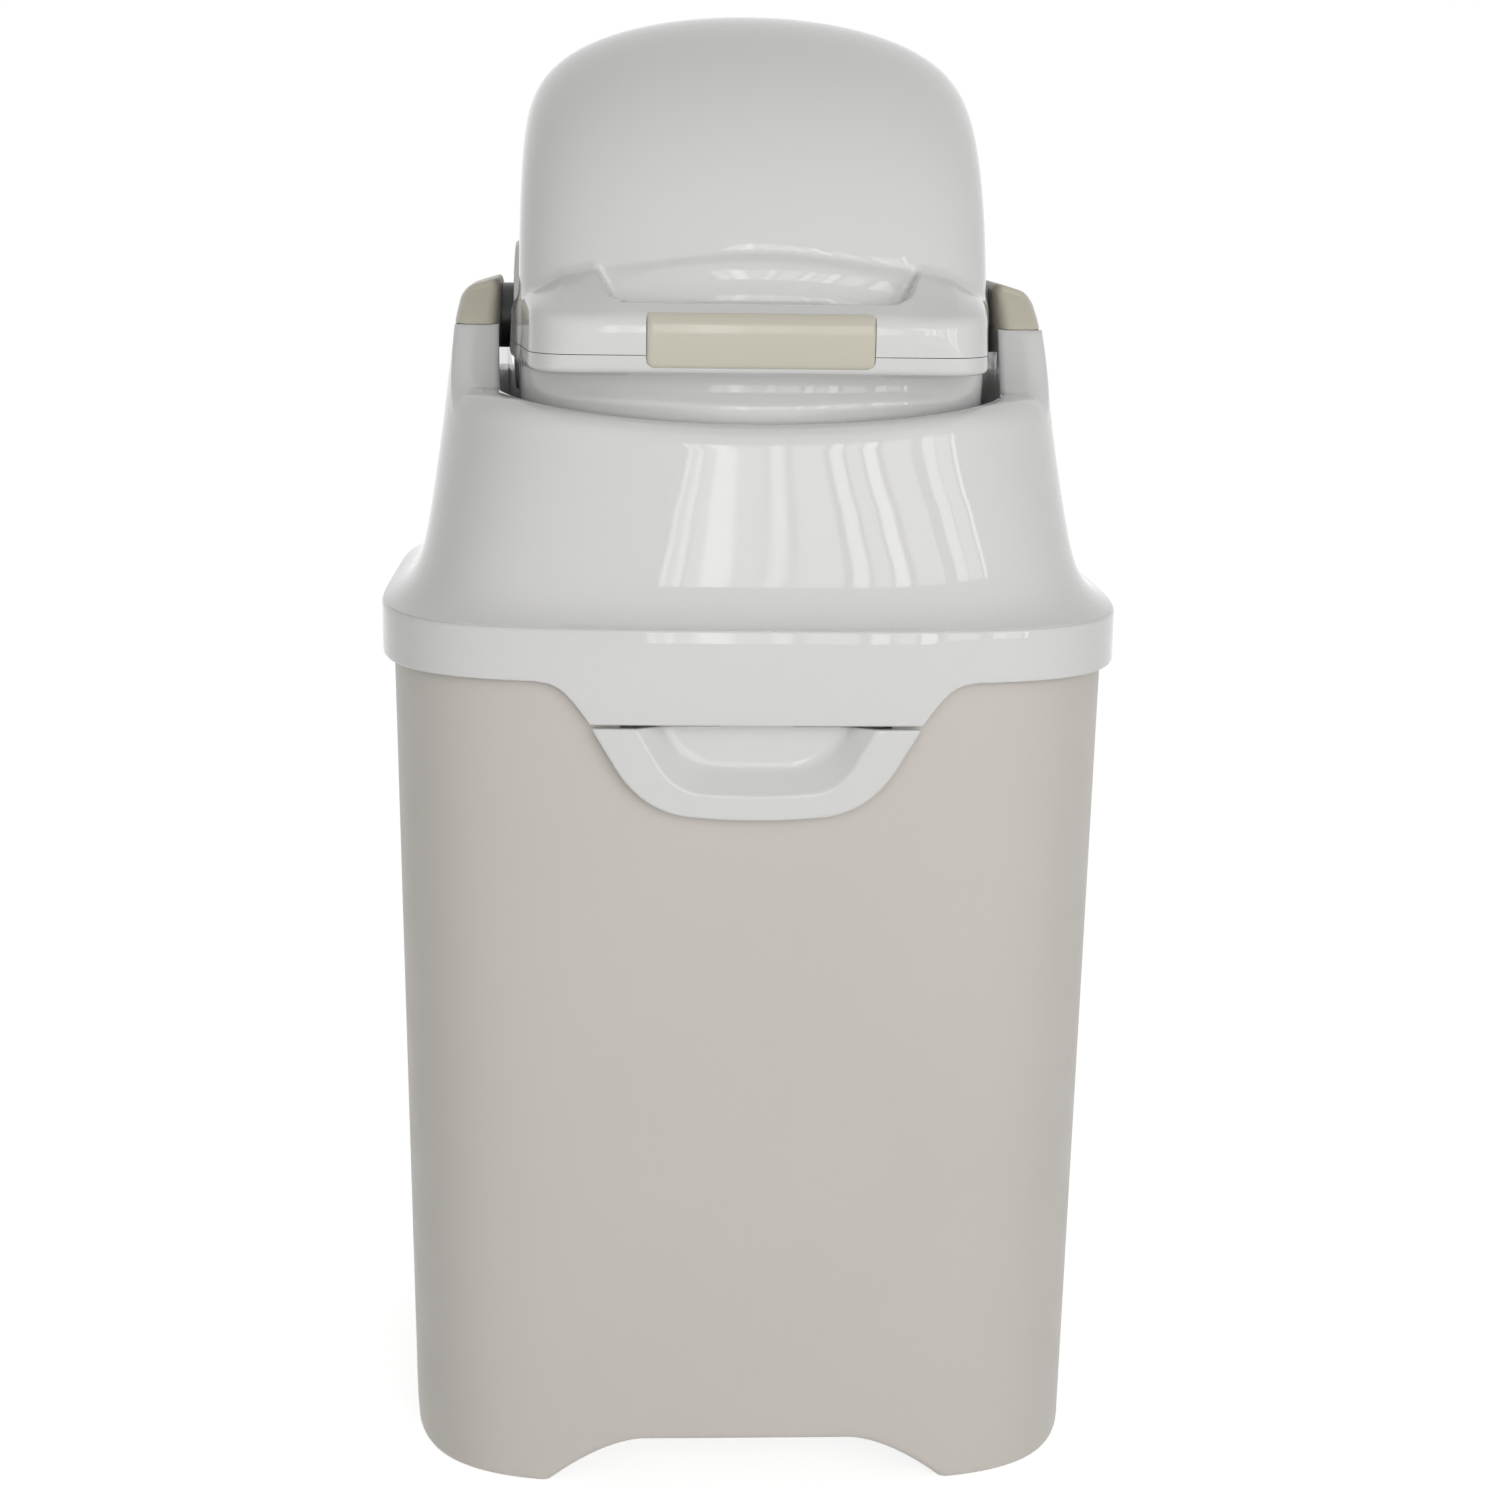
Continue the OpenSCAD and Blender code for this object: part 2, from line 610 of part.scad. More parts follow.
module cove_block(inset, half_h) {
    reach = drum_half_w - 10;
    translate([0, 0, pivot_z - half_h]) linear_extrude(2 * half_h)
        polygon(concat([for (i = [-12:12]) let (x = reach * i / 12) [x, -cove_line(x) + inset]],
            [[reach, -far], [-reach, -far]]));
}

// Plan outline of the handle, made smaller by inset
handle_corner = 32;
handle_root = drum_r - 37;             // the handle is hollow back to here
handle_back = drum_r - 72;             // and its ends reach back into the drum to here
module handle_plan(inset = 0) {
    half = handle_half - inset;
    front = handle_reach - inset;
    r = handle_corner - inset;
    corner = [for (i = [0:8]) let (t = 90 * i / 8) [half - r + r * cos(t), -(front - r + r * sin(t))]];
    polygon(concat([[half, -handle_back]], corner, [for (i = [8:-1:0]) [-corner[i][0], corner[i][1]]],
        [[-half, -handle_back]]));
}

// Side profile of the handle with rounded front edges
module handle_profile(inset = 0) {
    r = 3;
    half = handle_h / 2 - inset;
    front = handle_reach - inset;
    edge = [for (i = [0:4]) let (t = 90 * i / 4) [-(front - r + r * sin(t)), half - r + r * cos(t)]];
    polygon(concat([[-handle_back, half]], edge, [for (i = [4:-1:0]) [edge[i][0], -edge[i][1]]],
        [[-handle_back, -half]]));
}

module handle_solid() {
    difference() {
        translate([0, 0, pivot_z]) intersection() {
            translate([0, 0, -handle_h]) linear_extrude(2 * handle_h) handle_plan();
            along_x(-far, far) handle_profile();
        }
        box(-gap_w / 2, gap_w / 2, -handle_reach + bar_t, -drum_r + 42, pivot_z - far, pivot_z + far);
    }
}

post_front = [drum_half_w - 56, -drum_r + 15];
post_back = [drum_half_w - 43, drum_r - 20];
drum_post = [for (p = [post_front, post_back]) for (side = [1, -1]) [side * p[0], p[1]]];
post_drop = 60;                        // the posts and their screw holes reach this far down
screw_seat = 26;                       // drop from the pivot to the seat of a drum screw's head
drum_screw_l = 34;
post_r = 5;
spigot_r = cup_r + cup_wall + seat_gap;

module drum_form() {
    difference() {
        union() {
            difference() {
                barrel();
                cove_block(0, 34);
            }
            handle_solid();
        }
        difference() {
            barrel(drum_wall);
            cove_block(drum_wall, 36);
            for (p = drum_post) rod_z(post_r, pivot_z - post_drop, pivot_z + post_drop, p[0], p[1]);
        }
        translate([0, 0, pivot_z - handle_h / 2 + 3]) linear_extrude(handle_h - 6) difference() {
            handle_plan(3);
            translate([-gap_w / 2 - 4, -far]) square([gap_w + 8, 2 * far]);
            translate([-far, -handle_root]) square([2 * far, far]);
        }
        translate([0, -handle_reach - 1, pivot_z]) along_y(0, 1 + grip_sink)
            polygon(round_rect(grip_w + seat_gap, grip_h + seat_gap, 3.3));
        rod_x(axle_r + seat_gap / 4, -drum_half_w - 5, drum_half_w + 5, 0, pivot_z);
        for (p = drum_post) {
            rod_z(1.9, pivot_z - post_drop, pivot_z + drum_screw_l - screw_seat + 4, p[0], p[1]);
            rod_z(4, pivot_z - post_drop - 20, pivot_z - screw_seat, p[0], p[1]);
        }
    }
}

module drum_upper() color(white) {
    difference() {
        drum_form();
        box(-far, far, -far, far, pivot_z - far, pivot_z - split_drop + 0.15);
    }
}

module drum_lower() color(white) {
    difference() {
        union() {
            drum_form();
            intersection() {
                barrel(0.4);
                rod_z(spigot_r + 3, pivot_z - drum_r, pivot_z - drum_r + 48, 0, 0);
            }
        }
        rod_z(spigot_r, pivot_z - far, pivot_z - drum_r + 82, 0, 0);
        box(-far, far, -far, far, pivot_z - split_drop - 0.15, pivot_z + far);
    }
}

module chamber_cup() color(taupe) {
    bend = 20;
    outer = cup_r + cup_wall;
    top = cup_rise + cup_wall;
    curve = [for (i = [0:6]) 90 * i / 6];
    intersection() {
        barrel(0.6);
        translate([0, 0, pivot_z]) rotate_extrude($fn = 96) polygon(concat(
            [[cup_r, -drum_r], [outer, -drum_r]],
            [for (t = curve) [outer - bend + bend * cos(t), top - bend + bend * sin(t)]],
            [[0, top], [0, cup_rise]],
            [for (i = [6:-1:0]) let (t = curve[i])
                [cup_r - bend + bend * cos(t), cup_rise - bend + bend * sin(t)]]));
    }
}

grip_sink = 2.6;
grip_proud = 1;
module grip_insert() color(dark_taupe) {
    back = -handle_reach + grip_sink;
    front = -handle_reach - grip_proud;
    half = grip_h / 2;
    translate([0, 0, pivot_z]) intersection() {
        along_y(front, back) polygon(round_rect(grip_w, grip_h, 3.2));
        along_x(-grip_w, grip_w) polygon([[back, -half], [back, half], [front + 1.6, half],
            [front, half - 3], [front, -half + 3], [front + 1.6, -half]]);
    }
}

disc_r = 22;
disc_t = 1.9;
axle_end = cheek_x + 11.5;
module axle(side) {
    mirror([side < 0 ? 1 : 0, 0, 0]) {
        rod_x(axle_r, drum_half_w - 8, axle_end, 0, pivot_z);
        rod_x(disc_r, drum_half_w + 0.1, drum_half_w + 0.1 + disc_t, 0, pivot_z);
    }
}
module axle_left() color(white) axle(-1);
module axle_right() color(white) axle(1);

module axle_clips() color(steel)
    for (side = [0, 1]) mirror([side, 0, 0]) difference() {
        rod_x(axle_r + 4, drum_half_w - drum_wall - 2, drum_half_w - drum_wall - 0.4, 0, pivot_z);
        rod_x(axle_r + run_gap, drum_half_w - 12, drum_half_w, 0, pivot_z);
    }

module drum_screws() color(steel)
    for (p = drum_post)
        translate([p[0], p[1], pivot_z - screw_seat - 2.6]) screw(3.4, 2.6, 1.8, drum_screw_l);

/* Bearings, seal and caps */
block_in = cheek_x + head_wall + 0.2;
block_out = arm_half - head_wall - 1.4;
block_half = 22;
frame_top = pivot_z - skirt_drop - 8;
frame_t = 4;
cap_screw_x = [-(block_in + block_out) / 2, (block_in + block_out) / 2];
cap_screw_y = [-block_half + 4.4, block_half - 4.4];
frame_screw_y = [-block_half + 14, block_half - 14];
cap_screw_l = 33;
cap_seat = 26;                         // drop from the arm's joint to the seat of a cap screw's head
frame_screw_l = 17;

module bearing_block(side) {
    mirror([side < 0 ? 1 : 0, 0, 0]) difference() {
        box(block_in, block_out, -block_half, block_half, frame_top + seat_gap, joint_z - head_wall - 1.2);
        rod_x(bush_r + run_gap, block_in - 5, block_out + 5, 0, pivot_z);
        for (y = cap_screw_y) {
            rod_z(2.1, frame_top - 1, joint_z, cap_screw_x[1], y);
            rod_z(3.6, frame_top - 1, joint_z - cap_seat, cap_screw_x[1], y);
        }
        for (y = frame_screw_y)
            rod_z(1.6, frame_top - 1, frame_top - frame_t + frame_screw_l + 3, cap_screw_x[1], y);
    }
}
module bearing_block_left() color(white) bearing_block(-1);
module bearing_block_right() color(white) bearing_block(1);

module pivot_bush(side) {
    mirror([side < 0 ? 1 : 0, 0, 0]) difference() {
        union() {
            rod_x(bush_r, cheek_x - 0.2, block_out, 0, pivot_z);
            rod_x(bush_r + 2.5, drum_half_w + 0.1 + disc_t + part_gap, cheek_x - 0.1, 0, pivot_z);
        }
        rod_x(axle_r + run_gap, drum_half_w, block_out + 5, 0, pivot_z);
    }
}
module pivot_bush_left() color(rubber_grey) pivot_bush(-1);
module pivot_bush_right() color(rubber_grey) pivot_bush(1);

// Half depth of the arm at a height, from the same curve as the lip
function arm_half_depth(z) = let (
    low = lip_z + lip_rise,
    want = (z - low) / (arm_top_z - low),
    s = 0.5 - sin(asin(1 - 2 * (1 - want)) / 3))
    arm_top_half + (arm_foot_half - arm_top_half) * (z >= arm_top_z ? 0 : s);

// Cap on an arm: level rings that close in towards a rounded top, which slopes down outwards
cap_round = 6;
cap_slope = 0.3;
module cap_form() {
    flat_z = arm_top_z - cap_round;
    base = joint_z + 0.1;
    levels = concat([for (k = [0:4]) [base + (flat_z - base) * k / 4, 0]],
        [for (a = [18:18:90]) [flat_z + cap_round * sin(a), cap_round * (1 - cos(a))]]);
    skin([for (v = levels) let (
        z = v[0],
        inset = v[1],
        out = head_x(z) - inset * 0.8,
        middle = (cheek_x + inset * 0.35 + out) / 2,
        half_x = (out - cheek_x - inset * 0.35) / 2,
        half_y = arm_half_depth(min(z, arm_top_z - 3)) - inset * 0.6,
        tilt = cap_slope * smooth((z - base) / (arm_top_z - base)))
        [for (p = long_ring(half_x, half_y, 5, 48))
            [middle + p[0], p[1], z - tilt * (middle + p[0] - cheek_x)]]]);
}

module arm_cap(side) {
    mirror([side < 0 ? 1 : 0, 0, 0]) difference() {
        cap_form();
        rod_x(bush_r + run_gap, cheek_x - 2, block_out + seat_gap, 0, pivot_z);
        for (y = cap_screw_y)
            rod_z(1.7, joint_z - 2, joint_z + cap_screw_l - cap_seat + 1, cap_screw_x[1], y);
    }
}
module arm_cap_left() color(dark_taupe) arm_cap(-1);
module arm_cap_right() color(dark_taupe) arm_cap(1);

module cap_screws() color(steel)
    for (x = cap_screw_x) for (y = cap_screw_y)
        translate([x, y, joint_z - cap_seat - 3]) screw(3.2, 3, 1.6, cap_screw_l);

module frame_screws() color(steel)
    for (x = cap_screw_x) for (y = frame_screw_y)
        translate([x, y, frame_top - frame_t - 2]) screw(3, 2, 1.5, frame_screw_l);

// Rubber lip round the drum, under the mouth's skirt
module mouth_seal() color(rubber_grey) {
    difference() {
        plan_prism(cheek_x + head_wall, mouth_half + head_wall, mouth_n, frame_top + 0.1,
            pivot_z - skirt_drop);
        barrel(-0.4);
    }
}

module seal_frame() color(white) {
    outer = head_x(frame_top) - head_wall - 0.5;
    outer_y = head_y(frame_top) - head_wall - 0.5;
    difference() {
        plan_prism(outer, outer_y, head_n(frame_top), frame_top - frame_t, frame_top);
        barrel(-2.5);
        for (x = cap_screw_x) {
            for (y = frame_screw_y) rod_z(1.7, frame_top - frame_t - 1, frame_top + 1, x, y);
            for (y = cap_screw_y) rod_z(3.8, frame_top - frame_t - 1, frame_top + 1, x, y);
        }
    }
}

bin_shell();
bag_ring();
latch_housing();
housing_screws();
latch_pin();
hinge_bracket();
hinge_pin();
bracket_screws();
release_tab();
latch_spring();
head_shell();
head_base_ring();
rim_gasket();
mouth_seal();
seal_frame();
frame_screws();
bearing_block_left();
bearing_block_right();
pivot_bush_left();
pivot_bush_right();
arm_cap_left();
arm_cap_right();
cap_screws();
latch_striker();
hinge_leaf();
drum_upper();
drum_lower();
chamber_cup();
grip_insert();
axle_left();
axle_right();
axle_clips();
drum_screws();
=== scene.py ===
"""Nappy bin with a rotary drum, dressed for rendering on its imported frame.

Every size is in millimetres in the frame of the solids: +Z up, the front at -Y, the origin on the floor
under the drum's pivot. Meshes are turned to metres when they are made.
"""

from __future__ import annotations

import json
import logging
import math
from dataclasses import dataclass
from enum import Enum
from functools import partial
from typing import Callable, Sequence

import bmesh
import bpy
import numpy as np
from mathutils import Matrix, Vector

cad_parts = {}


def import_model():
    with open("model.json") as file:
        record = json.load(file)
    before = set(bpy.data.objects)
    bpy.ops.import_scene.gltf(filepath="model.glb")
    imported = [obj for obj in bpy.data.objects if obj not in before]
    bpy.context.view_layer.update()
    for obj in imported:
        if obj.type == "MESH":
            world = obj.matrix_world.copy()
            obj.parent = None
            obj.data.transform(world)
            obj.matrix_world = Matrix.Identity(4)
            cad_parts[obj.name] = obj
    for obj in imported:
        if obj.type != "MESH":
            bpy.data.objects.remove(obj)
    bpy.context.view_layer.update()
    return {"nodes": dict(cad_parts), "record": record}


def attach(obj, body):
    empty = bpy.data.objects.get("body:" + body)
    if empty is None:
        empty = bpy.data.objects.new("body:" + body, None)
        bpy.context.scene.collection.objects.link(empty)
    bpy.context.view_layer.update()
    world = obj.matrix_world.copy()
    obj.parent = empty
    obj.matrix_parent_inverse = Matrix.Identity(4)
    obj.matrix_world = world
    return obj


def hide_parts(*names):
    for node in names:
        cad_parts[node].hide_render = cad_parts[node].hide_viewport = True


Array, Piece, Material = np.ndarray, bpy.types.Object, bpy.types.Material
Tree, Node, Socket = bpy.types.NodeTree, bpy.types.Node, bpy.types.NodeSocket
Field = Callable[[Array], Array]
LOG = logging.getLogger("nappy_bin")
MM = 0.001  # Metres in a millimetre.
PIVOT_Z = 499.0  # Height of the axis that the drum turns about.
PLAN_POWER = 4.4  # Squareness of the body, the band and the tab's face.
TAB_PIN = (-148.2, 306.0)  # Y and Z of the pin that the tab turns about.
DRUM_POSTS = ((45.0, -117.0), (58.0, 112.0))  # X and Y of the drum's screw posts, mirrored left and right.
CLOUDS, MARKS = 0.09, 0.02  # Size of a finish's clouds of colour and of gloss, in metres.


class Body(str, Enum):
    """The rigid bodies that the pieces ride on."""

    BIN = "bin"
    TAB = "release_tab"
    HEAD = "head"
    DRUM = "drum"


class Work(str, Enum):
    """What a tool does to a piece, in Blender's words."""

    CUT = "DIFFERENCE"
    JOIN = "UNION"


# ---- Curves and fields ----


def smoothstep(s: Array) -> Array:
    """Ease from 0 to 1, with the values held between them."""
    c = np.clip(s, 0.0, 1.0)
    return c * c * (3 - 2 * c)


def plan_radius(half_x: Array, half_y: Array, power: Array, turn: Array) -> Array:
    """Distance from the axis to a rounded square of these half widths, where a power of 2 is an ellipse."""
    c, s = np.abs(np.cos(turn)), np.abs(np.sin(turn))
    return ((c / half_x) ** power + (s / half_y) ** power) ** (-1 / power)


def smooth_max(a: Array, b: Array, k: float) -> Array:
    """Larger of two fields, with an edge eased over the width k."""
    h = np.maximum(k - np.abs(a - b), 0.0) / k
    return np.maximum(a, b) + h * h * k / 4


def smooth_min(a: Array, b: Array, k: float) -> Array:
    """Smaller of two fields, with an edge eased over the width k."""
    return -smooth_max(-a, -b, k)


def slab(v: Array, low: float, high: float) -> Array:
    """Distance out of the space between two planes across one coordinate, negative inside."""
    return np.abs(v - (low + high) / 2) - (high - low) / 2


def rounded(walls: Sequence[Array], r: float) -> Array:
    """Distance out of the space within several square walls, with corners of radius r, negative inside."""
    w = np.stack([wall + r for wall in walls], -1)
    return np.linalg.norm(np.maximum(w, 0), axis=-1) + np.minimum(w.max(-1), 0) - r


def block(p: Array, low: Sequence[float], high: Sequence[float], r: float = 0.4) -> Array:
    """Distance out of a box between two corners with edges of radius r, negative inside."""
    return rounded([slab(p[..., i], low[i], high[i]) for i in range(3)], r)


def rod(p: Array, r: float, x0: float, x1: float, y: float, z: float) -> Array:
    """Distance out of a cylinder of radius r from x0 to x1 about an axis at y and z, negative inside."""
    return np.maximum(np.hypot(p[..., 1] - y, p[..., 2] - z) - r, slab(p[..., 0], x0, x1))


# ---- Meshes ----


def place(name: str, data: bpy.types.ID) -> Piece:
    """Link a new object to the scene, from its mesh, lamp or camera."""
    bpy.context.scene.collection.objects.link(made := bpy.data.objects.new(name, data))
    return made


def keep_result(piece: Piece, step: bpy.types.Modifier) -> Piece:
    """Make what a modifier gives the plain mesh of a piece.

    Args:
        piece: The piece.
        step: Its modifier, which is removed.

    Returns:
        The same piece.
    """
    graph = bpy.context.evaluated_depsgraph_get()
    made = bpy.data.meshes.new_from_object(piece.evaluated_get(graph))
    piece.modifiers.remove(step)
    old, piece.data = piece.data, made
    bpy.data.meshes.remove(old)
    return piece


def plain_mesh(name: str, form: bmesh.types.BMesh) -> Piece:
    """Turn a form into an object, which uses the form up.

    Args:
        name: The object's name.
        form: The form.

    Returns:
        The object.
    """
    mesh = bpy.data.meshes.new(name)
    form.to_mesh(mesh)
    form.free()
    return place(name, mesh)


def mesh_piece(
    name: str, points: Array, faces: Sequence[Sequence[int]] = (), edges: Sequence[Sequence[int]] = ()
) -> Piece:
    """Make an object from points in millimetres.

    Args:
        name: Its name.
        points: Its corners.
        faces: The corners of each face.
        edges: The ends of each loose edge.

    Returns:
        The object, linked to the scene.
    """
    mesh = bpy.data.meshes.new(name)
    mesh.from_pydata((np.asarray(points, float) * MM).tolist(), edges, faces)
    mesh.shade_smooth()
    mesh.validate()
    return place(name, mesh)


def loft(name: str, rings: Array, wrap: bool = False) -> Piece:
    """Skin closed rings with quads, outwards where the rings run anticlockwise and upwards.

    Args:
        name: The piece's name.
        rings: Rings by points by three coordinates.
        wrap: Whether the last ring joins the first. Without it both ends are closed.

    Returns:
        The object.
    """
    m, n = rings.shape[:2]
    i = np.arange(n)
    j = (i + 1) % n
    rows = []
    for k in range(m if wrap else m - 1):
        a, b = k * n, ((k + 1) % m) * n
        rows.append(np.stack([a + i, a + j, b + j, b + i], 1))
    piece = mesh_piece(name, rings.reshape(-1, 3), np.concatenate(rows).tolist())
    if not wrap:
        form = bmesh.new()
        form.from_mesh(piece.data)
        bmesh.ops.holes_fill(form, edges=[e for e in form.edges if e.is_boundary], sides=0)
        bmesh.ops.recalc_face_normals(form, faces=form.faces)
        form.to_mesh(piece.data)
        form.free()
    return piece


def round_rings(rows: Sequence[tuple[Array, Array]], turn: Array) -> Array:
    """Place rings round the axis, each from its distances and heights and the points' angles."""
    return np.array([np.stack([r * np.cos(turn), r * np.sin(turn), z], 1) for r, z in rows])


def soften(piece: Piece, angle: float = 32.0) -> Piece:
    """Shade a piece smooth, with sharp edges where it turns by more than an angle.

    Args:
        piece: The piece.
        angle: The angle, in degrees.

    Returns:
        The same piece.
    """
    piece.data.shade_smooth()
    piece.data.set_sharp_from_angle(angle=math.radians(angle))
    return piece


def cut(piece: Piece, tools: Sequence[Piece], how: Work = Work.CUT) -> Piece:
    """Cut a closed piece by closed tools, or join it to them. The tools are used up.

    Args:
        piece: The piece.
        tools: The closed solids to work with.
        how: What the tools do.

    Returns:
        The same piece with a plain mesh.
    """
    for tool in tools:
        step = piece.modifiers.new("cut", "BOOLEAN")
        step.operation, step.solver, step.object = how.value, "MANIFOLD", tool
        keep_result(piece, step)
        bpy.data.objects.remove(tool)
    piece.data.name = piece.name
    return piece


def rod_tool(r: float, start: Sequence[float], end: Sequence[float], sides: int = 96) -> Piece:
    """Make a plain cylinder to cut with.

    Args:
        r: Its radius.
        start: One end of its axis.
        end: The other end.
        sides: Its number of sides.

    Returns:
        The cylinder.
    """
    a, b = Vector(start), Vector(end)
    form = bmesh.new()
    bmesh.ops.create_cone(form, cap_ends=True, segments=sides, radius1=r, radius2=r, depth=(b - a).length)
    stand = Matrix.Translation((a + b) / 2) @ (b - a).to_track_quat("Z", "Y").to_matrix().to_4x4()
    form.transform(Matrix.Scale(MM, 4) @ stand)
    return plain_mesh("tool", form)


def prism_tool(outline: Sequence[tuple[float, float]], y0: float, y1: float) -> Piece:
    """Make a prism from y0 to y1 to cut with, its outline as X and Z, clockwise seen from the front."""
    return loft("tool", np.array([[[x, y, z] for x, z in outline] for y in (y0, y1)], float))


def box_tool(low: Sequence[float], high: Sequence[float]) -> Piece:
    """Make a plain box between two corners to cut with."""
    (x0, y0, z0), (x1, y1, z1) = low, high
    return prism_tool([(x0, z0), (x0, z1), (x1, z1), (x1, z0)], y0, y1)


def slope(field: Field, p: Array, step: float = 0.02) -> Array:
    """Gradient of a field by central differences.

    Args:
        field: The field.
        p: Points.
        step: Length of the step.

    Returns:
        One vector for each point.
    """
    out = np.empty_like(p)
    for axis in range(3):
        d = np.zeros(3)
        d[axis] = step
        out[..., axis] = (field(p + d) - field(p - d)) / (2 * step)
    return out


def settle(field: Field, p: Array, reach: float) -> Array:
    """Move points onto a field's surface.

    Args:
        field: The field.
        p: Points near its surface.
        reach: The most that a point may move in a step.

    Returns:
        The moved points.
    """
    for _ in range(4):
        g = slope(field, p)
        move = -(field(p) / np.maximum((g * g).sum(-1), 1e-6))[:, None] * g
        size = np.linalg.norm(move, axis=1, keepdims=True)
        p = p + move * np.minimum(1.0, reach / np.maximum(size, 1e-9))
    return p


CORNERS = np.array([[i, j, k] for i in (0, 1) for j in (0, 1) for k in (0, 1)])
EDGES = [(a, b) for a in range(8) for b in range(a + 1, 8) if np.abs(CORNERS[a] - CORNERS[b]).sum() == 1]


def mould(name: str, field: Field, axes: Sequence[Array]) -> Piece:
    """Mesh the surface where a field is zero, on a grid with one point for each cell that it crosses.

    Args:
        name: The piece's name.
        field: Distance out of the solid, in millimetres.
        axes: The grid's lines along X, Y and Z.

    Returns:
        The closed piece.
    """
    xs, ys, zs = axes
    values = np.empty((len(xs), len(ys), len(zs)), np.float32)
    yz = np.stack(np.meshgrid(ys, zs, indexing="ij"), -1)
    for i, x in enumerate(xs):
        values[i] = field(np.concatenate([np.full(yz.shape[:2] + (1,), x), yz], -1))
    inside = values < 0
    count = sum(
        inside[a : len(xs) - 1 + a, b : len(ys) - 1 + b, c : len(zs) - 1 + c].astype(np.int8) for a, b, c in CORNERS
    )
    cells = np.argwhere((count > 0) & (count < 8))
    number = np.full(count.shape, -1, np.int64)
    number[tuple(cells.T)] = np.arange(len(cells))
    grid = cells[:, None, :] + CORNERS[None]
    f = values[grid[..., 0], grid[..., 1], grid[..., 2]].astype(float)
    p = np.stack([xs[grid[..., 0]], ys[grid[..., 1]], zs[grid[..., 2]]], -1)
    total, hits = np.zeros((len(cells), 3)), np.zeros(len(cells))
    for a, b in EDGES:
        crossing = (f[:, a] < 0) != (f[:, b] < 0)
        share = np.where(crossing, f[:, a] / np.where(crossing, f[:, a] - f[:, b], 1), 0)[:, None]
        total += np.where(crossing[:, None], p[:, a] + share * (p[:, b] - p[:, a]), 0)
        hits += crossing
    points = settle(field, total / hits[:, None], float(np.diff(xs).mean()) * 0.5)
    faces = []
    for axis in range(3):
        u, v = (axis + 1) % 3, (axis + 2) % 3
        ahead = np.take(inside, range(1, inside.shape[axis]), axis)
        here = np.take(inside, range(inside.shape[axis] - 1), axis)
        at = np.argwhere(here != ahead)
        at = at[(at[:, u] > 0) & (at[:, v] > 0) & (at[:, u] < inside.shape[u] - 1) & (at[:, v] < inside.shape[v] - 1)]
        outward = here[tuple(at.T)]
        du, dv = np.eye(3, dtype=int)[u], np.eye(3, dtype=int)[v]
        quad = np.stack([number[tuple((at - s).T)] for s in (du + dv, dv, 0 * du, du)], 1)
        faces.append(np.where(outward[:, None], quad, quad[:, ::-1]))
    return mesh_piece(name, points, np.concatenate(faces).tolist())


def read(items: bpy.types.bpy_prop_collection, what: str, kind: type, width: int = 1) -> Array:
    """Read one value of all a mesh's vertices, loops or faces, in rows where it has several numbers."""
    items.foreach_get(what, out := np.empty(len(items) * width, kind))
    return out.reshape(-1, width) if width > 1 else out


def true_normals(piece: Piece, fields: Sequence[Field], reach: float = 0.03) -> Piece:
    """Shade each face of a moulded piece by the field that it lies on, and any cut face by its own plane.

    Args:
        piece: The piece.
        fields: The outward fields of its moulded faces.
        reach: How near a face's corners are to the surface that it belongs to.

    Returns:
        The same piece.
    """
    mesh = piece.data
    points = read(mesh.vertices, "co", float, 3) / MM
    corner = read(mesh.loops, "vertex_index", np.int32)
    starts, sizes = (read(mesh.polygons, what, np.int32) for what in ("loop_start", "loop_total"))
    owner = np.repeat(np.arange(len(starts)), sizes)
    flat = read(mesh.polygons, "normal", float, 3)[owner]
    normals = flat.copy()
    for field in fields:
        near = np.abs(field(points)) < reach
        whole = np.minimum.reduceat(near[corner].astype(np.int8), starts) > 0
        g = slope(field, points)
        g /= np.maximum(np.linalg.norm(g, axis=1, keepdims=True), 1e-9)
        agree = (g[corner] * flat).sum(1)
        side = np.where(np.add.reduceat(agree, starts) > 0, 1.0, -1.0)
        steep = np.minimum.reduceat(np.abs(agree), starts) > 0.5
        use = (whole & steep)[owner]
        normals[use] = (g[corner] * side[owner][:, None])[use]
    mesh.normals_split_custom_set(normals.tolist())
    return piece


# ---- Finishes ----


def linear(code: str) -> tuple[float, ...]:
    """Turn six hex digits of sRGB to linear red, green and blue with a full alpha."""
    parts = (int(code[i : i + 2], 16) / 255 for i in (0, 2, 4))
    return (*(c / 12.92 if c <= 0.04045 else ((c + 0.055) / 1.055) ** 2.4 for c in parts), 1.0)


def add_node(tree: Tree, kind: str, inputs: dict[str | int, object] | None = None, **settings: object) -> Node:
    """Add a node to a tree.

    Args:
        tree: The tree.
        kind: Blender's name for the node's type.
        inputs: Name or number of an input to its value, or to the socket that feeds it.
        **settings: Attributes of the node, which are set first.

    Returns:
        The node.
    """
    node = tree.nodes.new(kind)
    for key, value in settings.items():
        setattr(node, key, value)
    for key, value in (inputs or {}).items():
        if isinstance(value, Socket):
            tree.links.new(value, node.inputs[key])
        else:
            node.inputs[key].default_value = value
    return node


def blank_tree(owner: bpy.types.ID) -> Tree:
    """Empty the node tree of a material or a world.

    Args:
        owner: The material or world.

    Returns:
        Its tree.
    """
    owner.use_nodes = True
    owner.node_tree.nodes.clear()
    return owner.node_tree


